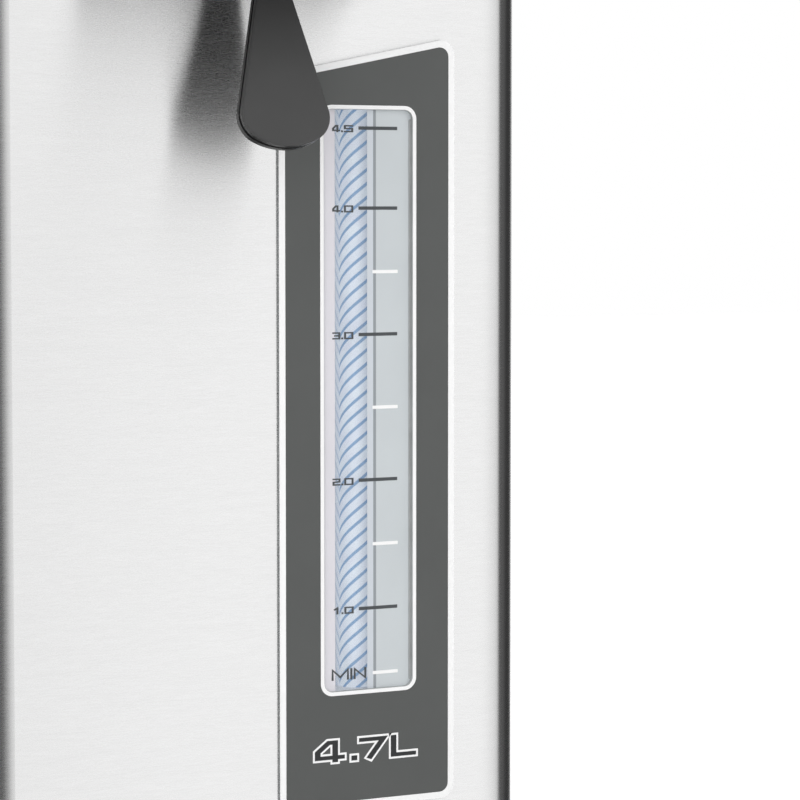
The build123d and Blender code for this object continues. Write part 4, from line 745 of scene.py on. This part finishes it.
def coil(centre, radius, wire, turns, start, end, axis="Z"):
    """A compression spring with closed end turns, along Z or Y."""
    verts, faces = [], []
    total = turns * PER_TURN
    pitch = wire * END_PITCH
    open_rise = end - start - wire - 2 * END_TURNS * pitch
    for i in range(total + 1):
        t = i / total
        a = 2 * math.pi * turns * t
        # the end turns climb slowly, and the turns between them share the rest
        open_share = min(max((t - END_TURNS / turns) / (1 - 2 * END_TURNS / turns), 0), 1)
        closed_turns = min(t * turns, END_TURNS) + END_TURNS - min((1 - t) * turns, END_TURNS)
        h = pitch * closed_turns + open_share * open_rise + wire / 2
        for k in range(AROUND_WIRE):
            b = 2 * math.pi * k / AROUND_WIRE
            r = radius + wire / 2 * math.cos(b)
            x, y, along = r * math.cos(a), r * math.sin(a), start + h + wire / 2 * math.sin(b)
            if axis == "Z":
                verts.append((centre[0] + x, centre[1] + y, along))
            else:
                verts.append((centre[0] + x, along, centre[1] + y))
    for i in range(total):
        here, there = i * AROUND_WIRE, (i + 1) * AROUND_WIRE
        for k in range(AROUND_WIRE):
            j = (k + 1) % AROUND_WIRE
            faces.append((here + k, here + j, there + j, there + k))
    faces.append(tuple(range(AROUND_WIRE))[::-1])
    faces.append(tuple(total * AROUND_WIRE + k for k in range(AROUND_WIRE)))
    return verts, faces


def lathe(profile):
    """A closed profile of (radius, z) points turned round the Z axis."""
    verts, faces = [], []
    n = len(profile)
    for i in range(AROUND_LATHE):
        a = 2 * math.pi * i / AROUND_LATHE
        verts += [(r * math.cos(a), r * math.sin(a), z) for r, z in profile]
    for i in range(AROUND_LATHE):
        here, there = i * n, (i + 1) % AROUND_LATHE * n
        for k in range(n):
            j = (k + 1) % n
            faces.append((here + k, here + j, there + j, there + k))
    return verts, faces


def bellows_profile(outer, depth, wall, low, high, folds):
    """Rounded folds: a wave for the outside and the same wave, thinner, for the inside."""
    wave = []
    count = folds * PER_FOLD
    for i in range(count + 1):
        a = 2 * math.pi * i / PER_FOLD
        wave.append((outer - depth / 2 + depth / 2 * math.cos(a), low + (high - low) * i / count))
    return wave + [(r - wall, z) for r, z in reversed(wave)]


def replace_soft(name, part, node, mat):
    """A soft piece on the lid that stands in for a plain node, with a mesh of its own."""
    piece = join(name, [part], mat, "lid", SOFT_SMOOTH)
    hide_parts(node)
    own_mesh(piece)


bell_lo, bell_hi = (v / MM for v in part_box("bellows"))
spring_lo, spring_hi = (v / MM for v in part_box("bellows_spring"))
latch_lo, latch_hi = (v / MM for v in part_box("latch_spring"))

FOLDS = 6
FOLD_DEPTH = 3.0
BELLOWS_WALL = 1.1
folded = lathe(bellows_profile(bell_hi.x, FOLD_DEPTH, BELLOWS_WALL, bell_lo.z, bell_hi.z, FOLDS))
replace_soft(
    "bellows_folded", folded, "bellows", "bellows",
)
BELLOWS_WIRE = 1.6
BELLOWS_TURNS = 7
wound = coil((0, 0), spring_hi.x - BELLOWS_WIRE / 2, BELLOWS_WIRE, BELLOWS_TURNS, spring_lo.z, spring_hi.z)
replace_soft(
    "bellows_coil", wound, "bellows_spring", "spring",
)
LATCH_WIRE = 0.7
LATCH_TURNS = 6
latch_centre = ((latch_lo.x + latch_hi.x) / 2, (latch_lo.z + latch_hi.z) / 2)
wound = coil(
    latch_centre, latch_hi.x - LATCH_WIRE / 2, LATCH_WIRE, LATCH_TURNS, latch_lo.y, latch_hi.y, axis="Y"
)
replace_soft(
    "latch_coil", wound, "latch_spring", "spring",
)


# Stage: a pale floor, surroundings that are white to the camera, and soft lights. Lengths in metres.

FLOOR_HALF = 4
FLOOR_GREY = 0.86
FLOOR_ROUGH = 0.9
FLOOR_GLOW = 0.5
floor = bpy.data.objects.new("floor", bpy.data.meshes.new("floor"))
corners = box(-FLOOR_HALF, FLOOR_HALF, -FLOOR_HALF, FLOOR_HALF)
floor.data.from_pydata([(x, y, 0) for x, y in corners], [], [(0, 1, 2, 3)])
bpy.context.scene.collection.objects.link(floor)
ground = Mat("floor", (FLOOR_GREY, FLOOR_GREY, FLOOR_GREY, 1), FLOOR_ROUGH, Specular_IOR_Level=0.0)
rays = ground.node("ShaderNodeLightPath")
glow = ground.node("ShaderNodeEmission")
ground.link(ground.compute("MULTIPLY", rays.outputs["Is Camera Ray"], FLOOR_GLOW), glow.inputs["Strength"])
lit = ground.node("ShaderNodeAddShader")
ground.link(ground.bsdf.outputs[0], lit.inputs[0])
ground.link(glow.outputs[0], lit.inputs[1])
# reflections look past the floor, so metal shows the same surroundings above and below it
past = ground.node("ShaderNodeBsdfTransparent")
either = ground.node("ShaderNodeMixShader")
ground.link(rays.outputs["Is Glossy Ray"], either.inputs[0])
ground.link(lit.outputs[0], either.inputs[1])
ground.link(past.outputs[0], either.inputs[2])
ground.link(either.outputs[0], ground.nodes["Material Output"].inputs["Surface"])
floor.data.materials.append(ground.mat)

# The surroundings that light the object and that metal reflects: compass directions, in degrees from
# the front (-Y) towards the right (+X), and their brightness
AROUND = [
    (-180, 0.65), (-60, 0.8), (-18, 0.95), (-16, 0.1), (5, 0.1), (7.5, 0.78), (11, 0.86), (16, 0.94),
    (20, 1.0), (57, 1.0), (66, 0.96), (73, 0.9), (88, 0.82), (91, 0.1), (104, 0.1), (112, 0.04),
    (132, 0.04), (140, 0.6), (165, 0.62), (180, 0.65),
]
world = bpy.data.worlds.new("studio")
bpy.context.scene.world = world
world.use_nodes = True
sky = Graph(world.node_tree)
coords = sky.node("ShaderNodeTexCoord")
parts = sky.node("ShaderNodeSeparateXYZ")
sky.link(coords.outputs["Generated"], parts.inputs[0])
minus_y = sky.compute("MULTIPLY", parts.outputs[1], -1.0)
compass = sky.compute("ARCTAN2", parts.outputs[0], minus_y)
ramp = sky.node("ShaderNodeValToRGB")
stops = ramp.color_ramp.elements
while len(stops) > 1:
    stops.remove(stops[-1])
for k, (degrees, value) in enumerate(AROUND):
    at = (degrees + 180) / 360
    stop = stops[0] if k == 0 else stops.new(at)
    stop.position = at
    stop.color = (value, value, value, 1)
sky.link(sky.remap(compass, (-math.pi, math.pi), (0.0, 1.0)), ramp.inputs["Fac"])
seen = sky.node("ShaderNodeLightPath")
shown = sky.blend(seen.outputs["Is Camera Ray"], ramp.outputs["Color"], (1, 1, 1, 1))
background = sky.nodes["Background"]
sky.link(shown, background.inputs["Color"])
background.inputs["Strength"].default_value = 1.0

# Soft lights, which metal doesn't show: name, place, size and power
LAMPS = [
    ("key", (1.1, -1.5, 1.3), (1.2, 1.0), 6),
    ("fill", (-0.9, -1.7, 0.5), (1.4, 1.0), 6),
    ("top", (-0.3, -0.1, 1.9), (1.4, 1.4), 7),
    ("back", (-0.9, 1.4, 1.0), (1.0, 1.0), 3.5),
]
LAMP_TARGET = Vector((0, 0, 0.2))
for name, at, size, power in LAMPS:
    data = bpy.data.lights.new(name, "AREA")
    data.shape = "RECTANGLE"
    data.size, data.size_y = size
    data.energy = power
    light = bpy.data.objects.new(name, data)
    light.location = at
    light.rotation_euler = (LAMP_TARGET - Vector(at)).to_track_quat("-Z", "Y").to_euler()
    light.visible_glossy = False
    bpy.context.scene.collection.objects.link(light)

# Camera: left of the front, at the height of the gauge, turned 24 degrees to the right and 3 down

CAM_AT = (-0.31128, -0.92598, 0.2467)
CAM_YAW = math.radians(24.338)
CAM_PITCH = math.radians(2.959)
FOCAL_PX = 2572.8
PHOTO_WIDTH_PX = 800
SHIFT_Y = -0.08
SENSOR_WIDTH = 36.0
NEAREST = 0.05
camera = bpy.data.objects.new("camera", bpy.data.cameras.new("camera"))
camera.data.sensor_width = SENSOR_WIDTH
camera.data.lens = FOCAL_PX * SENSOR_WIDTH / PHOTO_WIDTH_PX
camera.data.shift_y = SHIFT_Y
camera.data.clip_start = NEAREST
camera.location = CAM_AT
level = math.cos(CAM_PITCH)
look = Vector((math.sin(CAM_YAW) * level, math.cos(CAM_YAW) * level, -math.sin(CAM_PITCH)))
camera.rotation_euler = look.to_track_quat("-Z", "Y").to_euler()
bpy.context.scene.collection.objects.link(camera)
bpy.context.scene.camera = camera
bpy.context.scene.view_settings.view_transform = "Standard"
